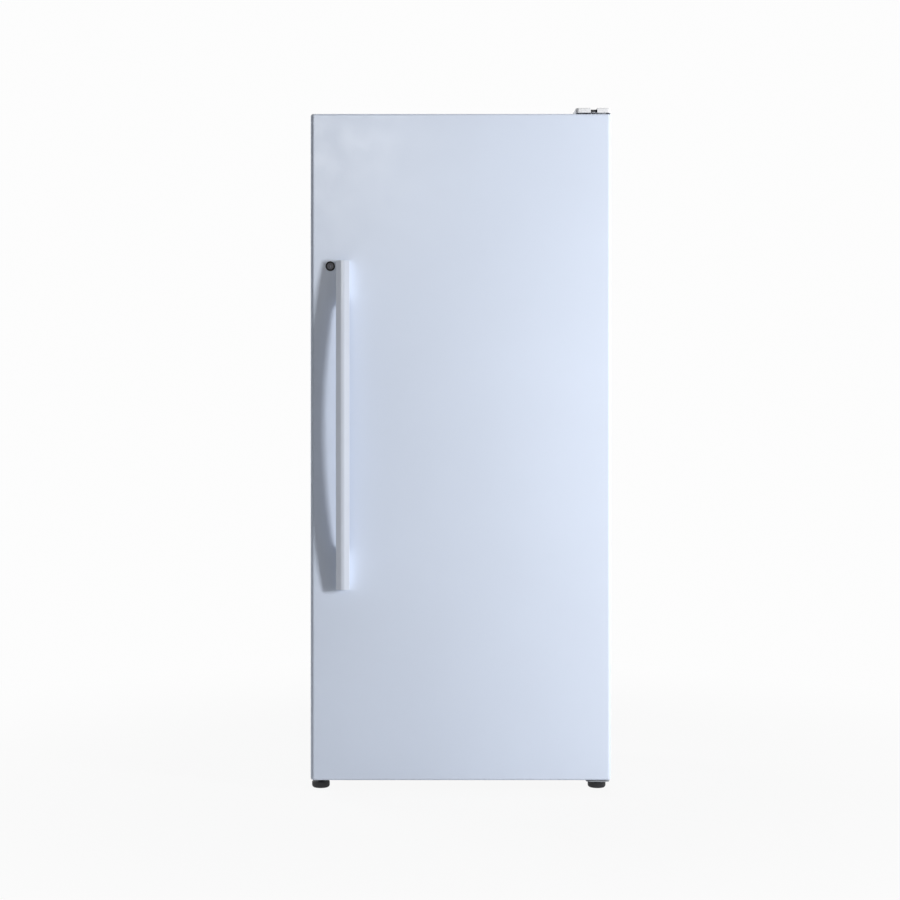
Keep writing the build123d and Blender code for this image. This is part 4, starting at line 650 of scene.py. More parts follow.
# %% Helpers for outlines
def loft(mesh, outlines, closed=False):
    """Joins closed outlines one after the other; caps both ends, or joins them if closed."""
    loops = []
    for outline in outlines:
        verts = [mesh.verts.new(point) for point in outline]
        loops.append([mesh.edges.new(pair) for pair in zip(verts, verts[1:] + verts[:1])])
    followers = loops[1:] + loops[:1] if closed else loops[1:]
    for before, after in zip(loops, followers):
        bmesh.ops.bridge_loops(mesh, edges=before + after)
    if not closed:
        for end in (loops[0], loops[-1]):
            bmesh.ops.contextual_create(mesh, geom=end)


def quarter_arc(radius, steps=4):
    """Points of a quarter circle, as their distances from its two end tangents."""
    turns = [pi / 2 * step / steps for step in range(steps + 1)]
    return [(radius * (1 - cos(turn)), radius * (1 - sin(turn))) for turn in turns]


def soften(piece, width, segments=2, angle=35):
    """Breaks a piece's sharp edges with a narrow bevel."""
    edge_break = piece.modifiers.new("edge_break", "BEVEL")
    edge_break.width = width
    edge_break.segments = segments
    edge_break.limit_method = "ANGLE"
    edge_break.angle_limit = radians(angle)
    edge_break.harden_normals = True
    return piece


print("a quarter circle has", len(quarter_arc(1)), "points")

# %% [markdown]
# ## The handle's section
# The handle is a bow: a strap whose front is part of a very large circle, so it stands furthest
# from the door at hand height. Its section has a narrow crowned face and two sloping flanks, and
# its back is rounded for the palm. A curve with a bevelled profile could carry one section along
# the bow, but here the back comes forward and goes to the door, so the section is written as a
# function of height and of how far its back reaches.

# %% Handle section
handle_low, handle_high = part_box("handle")
handle_middle = (handle_low + handle_high) / 2
strap_half = (handle_high.x - handle_low.x) / 2
face_half = 0.005
face_crown = 0.0005
face_rounding = 0.0012
flank_fall = 0.0045
strap_thickness = 0.017
palm_radius = 0.005
bow_rise = 0.029
bow_half = (handle_high.z - handle_low.z) / 2
bow_radius = (bow_half**2 + bow_rise**2) / (2 * bow_rise)


def handle_outline(height, reach_back):
    """The section at a height; reach_back is added behind, up to the door's face."""
    crest = handle_low.y + bow_radius - sqrt(bow_radius**2 - (height - handle_middle.z) ** 2)
    palm = crest + strap_thickness + reach_back
    half = [
        (0, crest),
        (face_half - face_rounding, crest + face_crown / 2),
        (face_half, crest + face_crown * 0.9),
        (face_half + face_rounding, crest + face_crown + face_rounding / 3),
        (strap_half, crest + face_crown + flank_fall),
    ]
    for inwards, forwards in quarter_arc(palm_radius):
        half.append((strap_half - inwards, min(palm - forwards, handle_high.y)))
    points = half + [(-x, y) for x, y in reversed(half[1:])]
    return [(handle_middle.x + x, y, height) for x, y in points]


print("bow radius", round(bow_radius, 2), "m")

# %% [markdown]
# ## The handle's length
# Towards both ends the finger opening closes with a large fillet and leaves a solid pad on the
# door. Even steps over the whole length would cut those fillets into coarse facets. So stations are
# laid from the lower end to the middle, over the pad, closely round the fillet and along the free
# strap, and mirrored for the upper half. Outlines at all stations are then joined.

# %% Handle
weld_distance = 1e-6
finger_opening = 0.700
pad_fillet = 0.045
pad_steps = 8
fillet_steps = 16
free_steps = 24
pad_end = handle_middle.z - finger_opening / 2
free_start = pad_end + pad_fillet
half_stations = [
    (handle_low.z + (pad_end - handle_low.z) * step / pad_steps, pad_fillet)
    for step in range(pad_steps)
]
for upwards, reach_back in quarter_arc(pad_fillet, fillet_steps):
    half_stations.append((pad_end + upwards, reach_back))
for step in range(1, free_steps + 1):
    half_stations.append((free_start + (handle_middle.z - free_start) * step / free_steps, 0))
stations = half_stations + [
    (2 * handle_middle.z - height, reach_back)
    for height, reach_back in reversed(half_stations[:-1])
]
mesh = bmesh.new()
loft(mesh, [handle_outline(height, reach_back) for height, reach_back in stations])
bmesh.ops.remove_doubles(mesh, verts=mesh.verts, dist=weld_distance)
soften(place(mesh, "bow_handle", "handle_plastic", "handle"), 0.001, segments=3)
print("handle", len(stations), "outlines")

# %% [markdown]
# ## Turned parts
# Bezels, feet, knobs, bulbs and screw heads are round. Cylinders could be stacked for them, but
# would meet in sharp steps. So each is an outline of radii and heights, spun about its axis and
# then tipped to where the axis really points. A ribbed rim is a spun one whose every second step is
# pulled in.

# %% Helpers for turned parts
def point_along(mesh, verts, centre, axis):
    """Tips vertices that were made along Z to an axis and moves them to a centre."""
    tilt = Vector((0, 0, 1)).rotation_difference(Vector(axis)).to_matrix().to_4x4()
    bmesh.ops.transform(mesh, matrix=Matrix.Translation(centre) @ tilt, verts=verts)


def turned(mesh, profile, centre, axis=(0, 0, 1), steps=48):
    """Spins an outline of (radius, height) pairs round the axis through the centre."""
    verts = [mesh.verts.new((radius, 0, height)) for radius, height in profile]
    edges = [mesh.edges.new(pair) for pair in zip(verts, verts[1:])]
    before = set(mesh.verts) - set(verts)
    bmesh.ops.spin(
        mesh, geom=verts + edges, cent=(0, 0, 0), axis=(0, 0, 1), angle=2 * pi, steps=steps
    )
    made = [vert for vert in mesh.verts if vert not in before]
    bmesh.ops.remove_doubles(mesh, verts=made, dist=weld_distance)
    made = [vert for vert in mesh.verts if vert not in before]
    point_along(mesh, made, centre, axis)
    return made


def cut_ribs(mesh, centre, across, rim_radius, count, depth):
    """Pulls every second step of a spun rim inwards; across holds the rim's two axes."""
    for vert in mesh.verts:
        spoke = Vector([vert.co[axis] - centre[axis] for axis in across])
        step = round(Vector((1, 0)).angle_signed(spoke, 0) / (pi / count))
        if spoke.length > rim_radius and step % 2:
            for axis, inwards in zip(across, spoke.normalized() * depth):
                vert.co[axis] -= inwards


print("turned parts spin about Z before they are tipped")

# %% [markdown]
# ## Copies of solids that are right
# Folded sheet and moulded parts whose form in the engineering model is already right could be shown
# as they are, but their edges are knife sharp, and no real edge is. So the solid is copied, its
# loose triangles are welded and merged into flat faces, and its sharp edges are broken.

# %% Helper for softened copies
flat_angle = radians(0.5)


def softened_copy(node, width):
    """A piece with a node's own form, its sharp edges broken."""
    source = frame["nodes"][node]
    mesh = bmesh.new()
    mesh.from_mesh(source.data)
    mesh.transform(source.matrix_world)
    bmesh.ops.remove_doubles(mesh, verts=mesh.verts, dist=weld_distance)
    bmesh.ops.dissolve_limit(mesh, angle_limit=flat_angle, verts=mesh.verts, edges=mesh.edges)
    return soften(place(mesh, node + "_softened", slot_of[node], node), width)


print("faces within", flat_angle, "radians are merged")

# %% [markdown]
# ## Lock
# The lock sits beside the handle's upper end: a dark bezel with a rounded rim, and inside it the
# core with its key slot. A torus would make the rim, but not its flat sides. So the bezel is spun,
# with its rim rounded towards both sides. The core is a copy, because the engineering model
# already has its slot, tail and lever.

# %% Lock bezel and core
bezel_low, bezel_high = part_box("lock_housing")
bezel_radius = (bezel_high.x - bezel_low.x) / 2
bezel_height = door_low.y - bezel_low.y
bezel_centre = ((bezel_low.x + bezel_high.x) / 2, door_low.y, (bezel_low.z + bezel_high.z) / 2)
core_radius = 0.0078
core_gap = 0.0003
bezel_bore = core_radius + core_gap
bezel_sink = 0.004
rim_arc = quarter_arc(0.0010)
mesh = bmesh.new()
profile = [
    (bezel_bore, -bezel_sink),
    *((bezel_bore + first, bezel_height - second) for first, second in rim_arc),
    *((bezel_radius - second, bezel_height - first) for first, second in rim_arc),
    (bezel_radius, 0),
]
turned(mesh, profile, bezel_centre, axis=(0, -1, 0))
place(mesh, "lock_bezel_ring", "lock_bezel", body="door")
softened_copy("lock_core", 0.0003)
print("lock bezel", round(2000 * bezel_radius, 1), "mm across")

# %% [markdown]
# ## Levelling feet
# Each foot is a moulded disc with a ribbed rim that fingers can turn, a collar above it, and a
# stud that goes up into the frame. The ribs are too fine to be cut one by one, so the whole foot is
# a spun outline and its rim gets the ribs afterwards.

# %% Feet
foot_ribs = 36
foot_rib_depth = 0.0008
rim_margin = 0.0003
stud_radius = 0.005
disc_height = 0.017
collar_top = disc_height + 0.006
for side in ("left", "right"):
    low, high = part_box("foot_" + side)
    centre = Vector(((low.x + high.x) / 2, (low.y + high.y) / 2, 0))
    radius = (high.x - low.x) / 2
    mesh = bmesh.new()
    profile = [
        (0, 0), (radius - 0.006, 0), (radius - 0.003, 0.0008), (radius - 0.001, 0.0030),
        (radius, 0.0060), (radius, disc_height - 0.0025),
        (radius - 0.0006, disc_height - 0.0008), (radius - 0.0025, disc_height),
        (0.011, disc_height), (0.0095, disc_height + 0.002), (0.0085, collar_top),
        (stud_radius, collar_top), (stud_radius, high.z - 0.001),
        (stud_radius - 0.001, high.z), (0, high.z),
    ]
    turned(mesh, profile, centre, steps=2 * foot_ribs)
    cut_ribs(mesh, centre, (0, 1), radius - rim_margin, foot_ribs, foot_rib_depth)
    place(mesh, "levelling_foot_" + side, "foot_black", "foot_" + side)
print("feet with", foot_ribs, "ribs")

# %% [markdown]
# ## Pressed and moulded parts that keep their form
# These nodes have the right form already. Their copies get the narrow rounding that folding,
# pressing and moulding leave on every edge, wide enough to catch a line of light and always less
# than half of the sheet's gauge. The glass panes cast no shadow, as clear glass lets the lamp's
# light through to the shelves below.

# %% Softened copies
edge_widths = {
    "cabinet_shell": 0.0008, "top_hinge_cover": 0.0010, "bottom_hinge": 0.0006,
    "top_hinge": 0.0005, "base_frame": 0.0005, "shelf_frame_1": 0.0008, "shelf_frame_2": 0.0008,
    "shelf_frame_3": 0.0008, "basket": 0.0008, "evaporator_cover": 0.0010,
    "control_housing": 0.0012, "machine_cover": 0.0004, "back_panel": 0.0004,
    "drain_pan": 0.0006, "start_relay": 0.0008, "roller_left": 0.0008, "roller_right": 0.0008,
    "cord_inlet": 0.0006, "condenser_fan_shroud": 0.0006, "compressor_grommets": 0.0008,
    "bottom_panel": 0.0002, "machine_deck": 0.0005, "hinge_screws": 0.0003,
    "roller_axles": 0.0003, "light_switch": 0.0005, "drain_tube": 0.0004,
    "shelf_glass_1": 0.0006, "shelf_glass_2": 0.0006, "shelf_glass_3": 0.0006,
}
for node, width in edge_widths.items():
    piece = softened_copy(node, width)
    piece.visible_shadow = not node.startswith("shelf_glass")
    print(node, len(piece.data.polygons), "faces")

# %% [markdown]
# ## Rounded rectangles
# Nearly everything inside a refrigerator is a rounded rectangle: liners, gaskets, bins, the grip of
# the knob. Bevelling the corners of a plain rectangle would round one outline, but a loft needs all
# its outlines to have the same points in the same order. So each corner is worked out as an arc
# that touches both sides: its centre follows from the radius and the angle between the sides. One
# helper lays such an outline flat, and one stands it upright.

# %% Helpers for rounded rectangles
def rounded(corners, steps):
    """A flat closed outline from (x, y, radius) corners, each corner an arc of that radius."""
    points = []
    for index, (x, y, radius) in enumerate(corners):
        corner = Vector((x, y))
        to_before = (Vector(corners[index - 1][:2]) - corner).normalized()
        to_next = (Vector(corners[(index + 1) % len(corners)][:2]) - corner).normalized()
        half_angle = to_before.angle(to_next) / 2
        middle = corner + (to_before + to_next).normalized() * (radius / sin(half_angle))
        start = corner + to_before * (radius / tan(half_angle)) - middle
        sweep = start.angle_signed(corner + to_next * (radius / tan(half_angle)) - middle)
        for step in range(steps + 1):
            points.append(middle + Matrix.Rotation(-sweep * step / steps, 2) @ start)
    return points


def flat_frame(left, near, right, far, radius, far_radius=None, steps=6):
    """A rounded rectangle between four sides; the far corners may have their own radius."""
    far_radius = far_radius or radius
    corners = [
        (left, near, radius), (right, near, radius),
        (right, far, far_radius), (left, far, far_radius),
    ]
    return rounded(corners, steps)


def upright_frame(half_width, low_z, high_z, radius, y):
    """A rounded rectangle that stands at depth y, symmetrical about the middle."""
    return [(x, y, z) for x, z in flat_frame(-half_width, low_z, half_width, high_z, radius)]


print("a rounded rectangle has", len(flat_frame(0, 0, 1, 1, 0.1)), "points")

# %% [markdown]
# ## Door liner
# The liner is one sheet drawn over a mould. From its flat flange it rises into a ring, the dyke,
# that enters the cabinet's mouth, and falls again to the flat ground behind the bins. It could be
# sculpted from a grid with insets and extrusions, but every outline of that form is a rounded
# rectangle, so a loft of them gives each radius exactly.

# %% Door liner outlines
liner_low, liner_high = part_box("door_liner")
mouth_low, mouth_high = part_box("inner_liner")
liner_gauge = 0.0016
mouth_half = mouth_high.x - liner_gauge
mouth_bottom = mouth_low.z + liner_gauge
mouth_top = mouth_high.z - liner_gauge
ground_y = door_high.y
flange_corner = 0.006
dyke_gap = 0.010
dyke_width = 0.040
dyke_corner = 0.020
dyke_draft = radians(6)
brow_radius = 0.006
outer_foot = 0.002
inner_foot = 0.003
lean = (liner_high.y - ground_y) * tan(dyke_draft)


def dyke_outline(inset, y):
    """The dyke's outer outline, taken in by inset, at depth y."""
    radius = dyke_corner - max(0, min(inset, dyke_width - inset))
    return upright_frame(
        mouth_half - dyke_gap - inset, mouth_bottom + dyke_gap + inset,
        mouth_top - dyke_gap - inset, radius, y,
    )


flange = [
    upright_frame(liner_high.x, liner_low.z, liner_high.z, flange_corner, y)
    for y in (ground_y - liner_gauge, ground_y)
]
brow = quarter_arc(brow_radius)
dyke = [dyke_outline(-outer_foot, ground_y), dyke_outline(0, ground_y + outer_foot)]
for sideways, down in brow:
    dyke.append(dyke_outline(lean + sideways, liner_high.y - down))
for sideways, down in reversed(brow):
    dyke.append(dyke_outline(dyke_width - lean - sideways, liner_high.y - down))
dyke += [
    dyke_outline(dyke_width - inner_foot / 10, ground_y + inner_foot),
    dyke_outline(dyke_width + inner_foot / 3, ground_y + inner_foot / 3),
    dyke_outline(dyke_width + inner_foot, ground_y),
]
print("dyke of", len(dyke), "outlines")

# %% [markdown]
# ## Bin ledges
# Each bin rests on a ledge that is drawn from the liner's ground. A plain block would hold it as
# well, but a drawn shape has to leave its mould, so a ledge is a short loft of three rounded
# rectangles that shrink towards its tip.

# %% Door liner and its ledges
bin_boxes = [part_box(f"door_bin_{number}") for number in range(1, 6)]
ledge_height = 0.006
ledge_reach = 0.014
ledge_root = 0.001
ledge_side_gap = 0.030
ledge_top_gap = 0.0003
ledge_corner = 0.0015
mesh = bmesh.new()
loft(mesh, flange + dyke)
for bin_low, bin_high in bin_boxes:
    ledge = [
        upright_frame(
            bin_high.x - ledge_side_gap - shrink, bin_low.z - ledge_height + shrink,
            bin_low.z - ledge_top_gap - shrink / 2, ledge_corner, y,
        )
        for shrink, y in (
            (0, ground_y - ledge_root), (0.001, ground_y + ledge_reach - ledge_root),
            (0.0018, ground_y + ledge_reach),
        )
    ]
    loft(mesh, ledge)
place(mesh, "door_liner_sheet", "liner_plastic", "door_liner")
print("door liner with", len(bin_boxes), "ledges")

# %% [markdown]
# ## Gasket
# The magnetic gasket is one extrusion, mitred at the corners: a foot held in the liner, a bellows
# that lets it stretch, and a flat head with the magnet, whose lips curl a little. A curve with this
# section would pinch at the corners. Here the section is written as (inset, depth) pairs and every
# pair becomes one rounded rectangle round the door.

# %% Gasket
gasket_low, gasket_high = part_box("door_gasket")
gasket_width = 0.022
gasket_corner = 0.008
least_corner = 0.002
gasket_depth = gasket_high.y - gasket_low.y
section = [
    (0.0000, 0.0004), (0.0006, 0.0018), (0.0050, 0.0022), (0.0062, 0.0034), (0.0052, 0.0046),
    (0.0056, 0.0058), (0.0022, 0.0062), (0.0010, 0.0074), (0.0016, 0.0090),
    (0.0040, gasket_depth), (0.0180, gasket_depth), (0.0204, 0.0090), (0.0210, 0.0074),
    (0.0198, 0.0062), (0.0164, 0.0058), (0.0168, 0.0046), (0.0158, 0.0034), (0.0170, 0.0022),
    (0.0214, 0.0018), (gasket_width, 0.0004), (gasket_width - 0.0006, 0.0), (0.0006, 0.0),
]
rings = [
    upright_frame(
        gasket_high.x - inset, gasket_low.z + inset, gasket_high.z - inset,
        max(least_corner, gasket_corner - inset / 4), gasket_low.y + depth,
    )
    for inset, depth in section
]
mesh = bmesh.new()
loft(mesh, rings, closed=True)
place(mesh, "magnetic_gasket", "gasket_rubber", "door_gasket", smooth_angle=60)
print("gasket section of", len(section), "points")

# %% [markdown]
# ## Door bins
# A bin is a tub with a flat back and generously rounded front corners, lower in front so that
# bottles can be lifted over it. A shelled box would need its rim and draft worked in afterwards.
# One loft makes the whole wall instead: up the outside, over the rolled rim and down the inside to
# the floor. The rim's height falls towards the front.

# %% Door bins
bin_wall = 0.0022
bin_corner = 0.030
bin_back_corner = 0.003
bin_draft = 0.0015
rim_proud = 0.0012
bin_front_drop = 0.020


def bin_outline(bin_low, bin_high, inset, height, follow_rim):
    """The tub's outline, taken in by inset; height is from its foot or down from its rim."""
    middle_y = (bin_low.y + bin_high.y) / 2
    points = []
    for x, y in flat_frame(
        bin_low.x + inset, bin_low.y + inset, bin_high.x - inset, bin_high.y - inset,
        bin_back_corner, bin_corner - inset, steps=8,
    ):
        z = bin_low.z + height
        if follow_rim:
            drop = bin_front_drop * max(0, (y - middle_y) / (bin_high.y - middle_y))
            z = bin_high.z - drop - height
        points.append((x, y, z))
    return points


outer = rim_proud + bin_draft
inner = rim_proud + bin_draft + bin_wall
bin_path = [
    (outer + 0.002, 0, False), (outer + 0.0006, 0.0006, False), (outer, 0.002, False),
    (rim_proud, 0.0070, True), (0.0004, 0.0060, True), (0, 0.0048, True), (0, 0.0014, True),
    (0.0006, 0.0004, True), (rim_proud + bin_wall / 2, 0, True),
    (rim_proud + bin_wall, 0.0012, True), (rim_proud + bin_wall, 0.0060, True),
    (inner, bin_wall + 0.003, False), (inner + 0.001, bin_wall + 0.001, False),
    (inner + 0.003, bin_wall, False),
]
for number, (bin_low, bin_high) in enumerate(bin_boxes, start=1):
    mesh = bmesh.new()
    loft(mesh, [bin_outline(bin_low, bin_high, *stage) for stage in bin_path])
    place(mesh, f"door_bin_tub_{number}", "bin_plastic", f"door_bin_{number}", smooth_angle=50)
print("door bins", len(bin_boxes))

# %% [markdown]
# ## Thermostat knob
# The knob is a dial with a ribbed rim and a raised bar across it for finger and thumb. The dial is
# spun and ribbed as the feet are. The bar is a loft of rounded rectangles that narrow towards the
# hand, so it gets its soft top edge without a bevel.

# %% Knob
knob_low, knob_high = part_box("thermostat_knob")
housing_low, housing_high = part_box("control_housing")
knob_radius = (knob_high.x - knob_low.x) / 2
knob_centre = Vector((
    (knob_low.x + knob_high.x) / 2, housing_low.y, (knob_low.z + knob_high.z) / 2
))
dial_depth = (housing_low.y - knob_low.y) / 2
knob_ribs = 30
knob_rib_depth = 0.0006
knob_rim_margin = 0.001
dial_gap = 0.0003
dial = [
    (0, dial_gap), (knob_radius - 0.0004, dial_gap), (knob_radius, 0.001),
    (knob_radius - 0.0006, dial_depth - 0.001), (knob_radius - 0.0018, dial_depth),
    (knob_radius - 0.006, dial_depth + 0.0003), (0, dial_depth + 0.0003),
]
mesh = bmesh.new()
turned(mesh, dial, knob_centre, axis=(0, -1, 0), steps=2 * knob_ribs)
cut_ribs(mesh, knob_centre, (0, 2), knob_radius - knob_rim_margin, knob_ribs, knob_rib_depth)
grip_half = 0.003
grip_long = knob_radius - 0.003
grip_roundness = 0.98
grip = [
    [
        (knob_centre.x + x, y, knob_centre.z + z)
        for x, z in flat_frame(-half, -long, half, long, half * grip_roundness)
    ]
    for half, long, y in (
        (grip_half + 0.0012, grip_long, knob_centre.y - dial_depth + 0.0002),
        (grip_half, grip_long - 0.0006, knob_centre.y - dial_depth - 0.0015),
        (grip_half - 0.0004, grip_long - 0.001, knob_low.y + 0.0008),
        (grip_half - 0.0012, grip_long - 0.0018, knob_low.y),
    )
]
loft(mesh, grip)
place(mesh, "thermostat_dial", "knob_plastic", "thermostat_knob", smooth_angle=40)
print("knob with", knob_ribs, "ribs")

# %% [markdown]
# ## Pointer and dots
# A dark line on the bar's upper end is the knob's pointer, and seven raised dots on the housing,
# growing in size, stand for colder and colder. They are printed on the real one. As thin solids
# they stay sharp from any distance and need no image.

# %% Pointer and dots
pointer_half = 0.0005
pointer_length = 0.006
pointer_proud = 0.00015
pointer_sink = 0.0004
pointer_top = knob_centre.z + grip_long - 0.002
mesh = bmesh.new()
block(
    mesh,
    (knob_centre.x - pointer_half, knob_low.y - pointer_proud, pointer_top - pointer_length),
    (knob_centre.x + pointer_half, knob_low.y + pointer_sink, pointer_top),
)
place(mesh, "dial_pointer", "relay_plastic", body="knob")
dot_count = 7
dot_ring = knob_radius + 0.0045
first_dot = -135
dot_sweep = 270
mesh = bmesh.new()
for index in range(dot_count):
    turn = radians(first_dot + dot_sweep * index / (dot_count - 1))
    dot_radius = 0.0006 + 0.0002 * index
    centre = knob_centre + Vector((sin(turn) * dot_ring, 0, cos(turn) * dot_ring))
    dot = [(0, 0.0004), (dot_radius * 0.7, 0.0003), (dot_radius, 0), (dot_radius, -0.0005)]
    turned(mesh, dot, centre, axis=(0, -1, 0), steps=16)
place(mesh, "cold_dots", "relay_plastic", body="cabinet")
print("dots", dot_count)

# %% [markdown]
# ## Lamp
# The bulb is glass on a metal base. A sphere on a cylinder would need its neck joined by hand. Both
# are spun outlines instead: the bulb's runs from the base over a shoulder into a dome, and the base
# is a thin sleeve just outside it.

# %% Bulb and base
lamp_low, lamp_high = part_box("lamp")
lamp_centre = Vector((
    lamp_low.x, (lamp_low.y + lamp_high.y) / 2, (lamp_low.z + lamp_high.z) / 2
))
lamp_radius = (lamp_high.z - lamp_low.z) / 2
lamp_length = lamp_high.x - lamp_low.x
base_length = 0.010
dome_steps = 6
dome_stretch = 1.05
bulb = [(0, 0), (0.0065, 0), (0.0068, base_length), (lamp_radius * 0.72, base_length + 0.003)]
for step in range(dome_steps + 1):
    turn = pi / 2 * step / dome_steps
    bulb.append((
        max(0.0, lamp_radius * cos(turn)),
        lamp_length - lamp_radius * dome_stretch * (1 - sin(turn)),
    ))
cap = [(0.0070, 0.0005), (0.0072, 0.001), (0.0072, base_length), (0.0070, base_length + 0.0004)]
mesh = bmesh.new()
turned(mesh, bulb, lamp_centre, axis=(1, 0, 0), steps=32)
place(mesh, "lamp_bulb", "lamp_glass", "lamp", smooth_angle=60)
mesh = bmesh.new()
turned(mesh, cap, lamp_centre, axis=(1, 0, 0), steps=32)
place(mesh, "lamp_base", "zinc_screw", body="cabinet")
print("bulb", round(1000 * lamp_length), "mm long")

# %% [markdown]
# ## Lens
# The lens below the bulb is moulded with prisms along its underside, which break up the view of
# the bulb. A bump map would do from afar, but the prisms show against the light, so they are
# modelled: each is a three-cornered outline joined to its twin at the other edge.

# %% Lens and prisms
softened_copy("lamp_lens", 0.0008)
lens_low, lens_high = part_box("lamp_lens")
prism_count = 18
prism_depth = 0.0012
prism_margin = 0.008
pitch = (lens_high.x - lens_low.x - 2 * prism_margin) / prism_count
mesh = bmesh.new()
for index in range(prism_count):
    left = lens_low.x + prism_margin + index * pitch
    outline = [(left, 0.0), (left + pitch / 2, -prism_depth), (left + pitch, 0.0)]
    ends = [
        [(x, y, lens_low.z + prism_depth + drop) for x, drop in outline]
        for y in (lens_low.y + prism_margin, lens_high.y - prism_margin)
    ]
    loft(mesh, ends)
place(mesh, "lens_prisms", "lens_plastic", body="cabinet")
print("lens with", prism_count, "prisms")

# %% [markdown]
# ## Screws
# Pan-head screws hold the back panel, the machine cover, the evaporator cover and the control
# housing. A boolean cut would make the cross recess too, but leaves ragged faces. Here the head is
# a spun dome whose two inner rings are pulled into a cross, by letting their radius rise and fall
# four times round the head.

# %% Pan-head screws
recess_narrow = 0.35


def pan_head(mesh, centre, axis, radius=0.0042, height=0.0022):
    """One screw head with a cross recess, its underside at the centre."""
    recess_outer = radius * 0.55
    recess_inner = radius * 0.40
    head = [
        (0, height * 0.35), (recess_inner, height * 0.4), (recess_outer, height * 0.98),
        (radius * 0.75, height * 0.85), (radius * 0.93, height * 0.5), (radius, height * 0.12),
        (radius, 0),
    ]
    verts = turned(mesh, head, (0, 0, 0), steps=24)
    for vert in verts:
        spoke = vert.co.xy
        if 1e-5 < spoke.length < recess_outer + 1e-5:
            turn = Vector((1, 0)).angle_signed(spoke)
            arm = abs(cos(2 * turn)) ** 3
            vert.co.xy = spoke * (recess_narrow + (1 - recess_narrow) * arm)
    point_along(mesh, verts, centre, axis)


def screw_heads(name, spots):
    """One piece with a screw head at each spot, given as a centre and an axis."""
    mesh = bmesh.new()
    for centre, axis in spots:
        pan_head(mesh, centre, axis)
    place(mesh, name, "zinc_screw", body="cabinet")
    print(name, len(spots))


print("a recess is pulled in to", recess_narrow, "of its radius between the arms")

# %% [markdown]
# ## Where the screws sit
# The back panel has a row of screws down each side and three along its top. The machine cover has
# three down each side. Inside, the evaporator cover has three down each side and the control
# housing one at each end. Heads set at fixed places would stay behind when a size changes, so
# every place is measured from the edges of the piece that the screw holds.

# %% Rows of screws
panel_low, panel_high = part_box("back_panel")
machine_low, machine_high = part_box("machine_cover")
duct_low, duct_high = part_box("evaporator_cover")
bead_height = 0.003
hood_reach = 0.003
screw_inset = 0.012
duct_inset = 0.014
screw_rows = 7
outwards, towards_door, downwards = (0, 1, 0), (0, -1, 0), (0, 0, -1)

panel_face = panel_high.y - bead_height
row_span = panel_high.z - panel_low.z - 2 * screw_inset
spots = [
    ((side * (panel_high.x - screw_inset), panel_face, z), outwards)
    for z in (
        panel_low.z + screw_inset + row_span * row / (screw_rows - 1) for row in range(screw_rows)
    )
    for side in (-1, 1)
]
for column in range(1, 4):
    x = panel_low.x + (panel_high.x - panel_low.x) * column / 4
    spots.append(((x, panel_face, panel_high.z - screw_inset), outwards))
screw_heads("back_panel_screws", spots)

machine_face = machine_high.y - hood_reach
machine_levels = [
    machine_low.z + (machine_high.z - machine_low.z) * share for share in (0.07, 0.5, 0.93)
]
screw_heads("machine_cover_screws", [
    ((side * (machine_high.x - screw_inset), machine_face, z), outwards)
    for side in (-1, 1) for z in machine_levels
])

housing_y = (housing_low.y + housing_high.y) / 2
duct_levels = (duct_low.z + duct_inset, (duct_low.z + duct_high.z) / 2, duct_high.z - duct_inset)
spots = []
for side in (-1, 1):
    duct_x = side * (duct_high.x - duct_inset)
    spots += [((duct_x, duct_low.y, z), towards_door) for z in duct_levels]
    spots.append(((side * (housing_high.x - duct_inset), housing_y, housing_low.z), downwards))
screw_heads("liner_side_screws", spots)

# %% [markdown]
# ## Liner lip
# Where the liner meets the steel frame, its edge is rolled over the frame as a narrow lip. A tube
# along the joint would be simpler, but the lip is flat where it lies on the steel. It is a closed
# loft, as the gasket is: a small crowned section carried round a rounded rectangle.

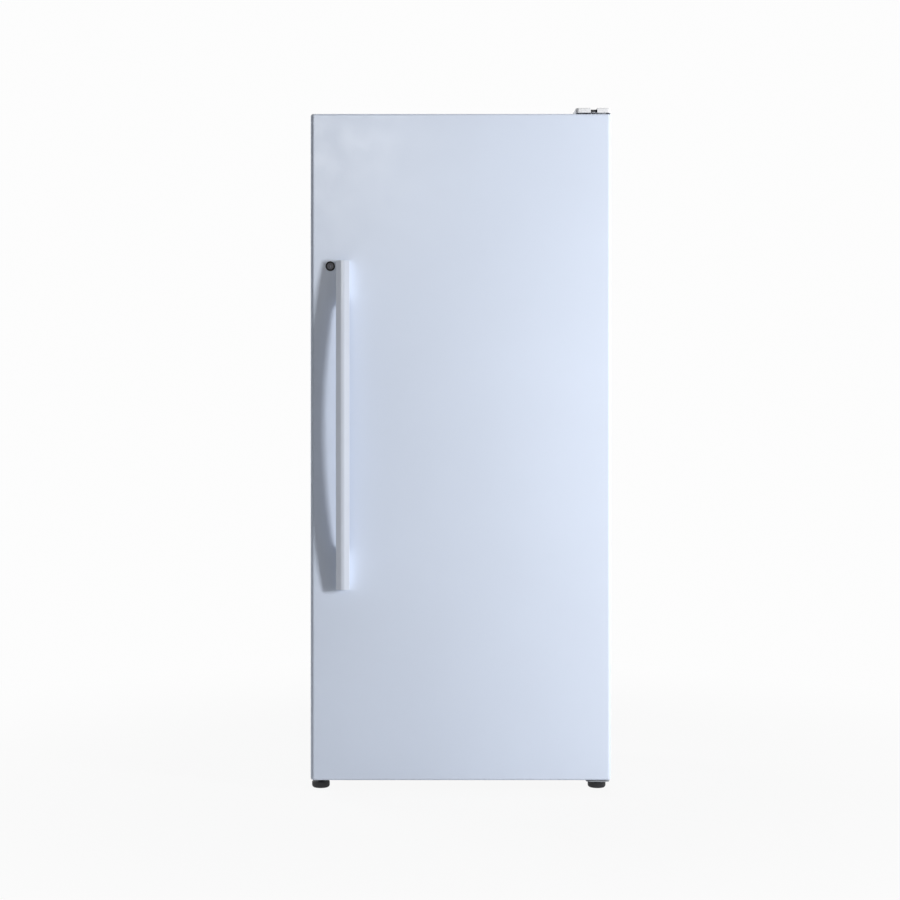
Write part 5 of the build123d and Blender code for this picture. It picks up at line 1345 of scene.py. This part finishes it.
# %% Liner lip
lip_width = 0.005
lip_proud = 0.0012
mouth_corner = 0.010
frame_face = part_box("cabinet_shell")[0].y
lip_section = [
    (0.0, 0.004), (0.0, 0.0), (0.0006, -lip_proud * 0.8), (0.0016, -lip_proud),
    (lip_width - 0.0008, -lip_proud * 0.8), (lip_width, 0.0), (0.0008, 0.0002), (0.0004, 0.004),
]
rings = [
    upright_frame(
        mouth_half + out, mouth_bottom - out, mouth_top + out, mouth_corner + out,
        frame_face + depth,
    )
    for out, depth in lip_section
]
mesh = bmesh.new()
loft(mesh, rings, closed=True)
place(mesh, "liner_lip", "liner_plastic", body="cabinet", smooth_angle=60)
print("lip", round(2000 * mouth_half), "mm wide")

# %% [markdown]
# ## Basket bead
# The basket's upper edge is a thick rolled bead, which is what a hand takes hold of. A curve with a
# round bevel would do too, but a closed loft stays a mesh like every other piece. Its section is a
# circle, whose points start a little off the level, because two neighbouring rings at one height
# would be joined as a flat lid.

# %% Basket bead
basket_low, basket_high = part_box("basket")
basket_wall = 0.0025
basket_corner = 0.022
rim_reach = 0.0275
basket_half = basket_high.x - rim_reach
bead_radius = 0.0028
bead_steps = 9
bead_start = 0.125
rings = []
for step in range(bead_steps):
    turn = 2 * pi * (step + bead_start) / bead_steps
    grow = bead_radius * cos(turn) - basket_wall / 2
    height = basket_high.z - bead_radius + bead_radius * sin(turn)
    outline = flat_frame(
        -basket_half - grow, basket_low.y - grow, basket_half + grow, basket_high.y + grow,
        basket_corner + grow, steps=8,
    )
    rings.append([(x, y, height) for x, y in outline])
mesh = bmesh.new()
loft(mesh, rings, closed=True)
place(mesh, "basket_bead", "basket_plastic", body="pull_out_basket", smooth_angle=60)
print("bead", round(2000 * basket_half), "mm wide")

# %% [markdown]
# ## The light inside
# When the door opens, the lamp in the housing lights the shelves. The glass bulb could be given a
# glow of its own, but light from so small a surface renders noisily. A small warm lamp just under
# the lens does it instead. With the door shut it is sealed in, and adds nothing outside.

# %% Cabinet light
light_drop = 0.006
light_lean = 0.05
lens_middle = (lens_low + lens_high) / 2
inside_lamp = area_lamp(
    "cabinet_light", (lens_middle.x, lens_middle.y, lens_low.z - light_drop),
    (0, lens_middle.y - light_lean, 0), width=0.09, height=0.05, power=2.2,
)
inside_lamp.data.color = warm_white
print("cabinet light at", [round(value, 3) for value in inside_lamp.location])
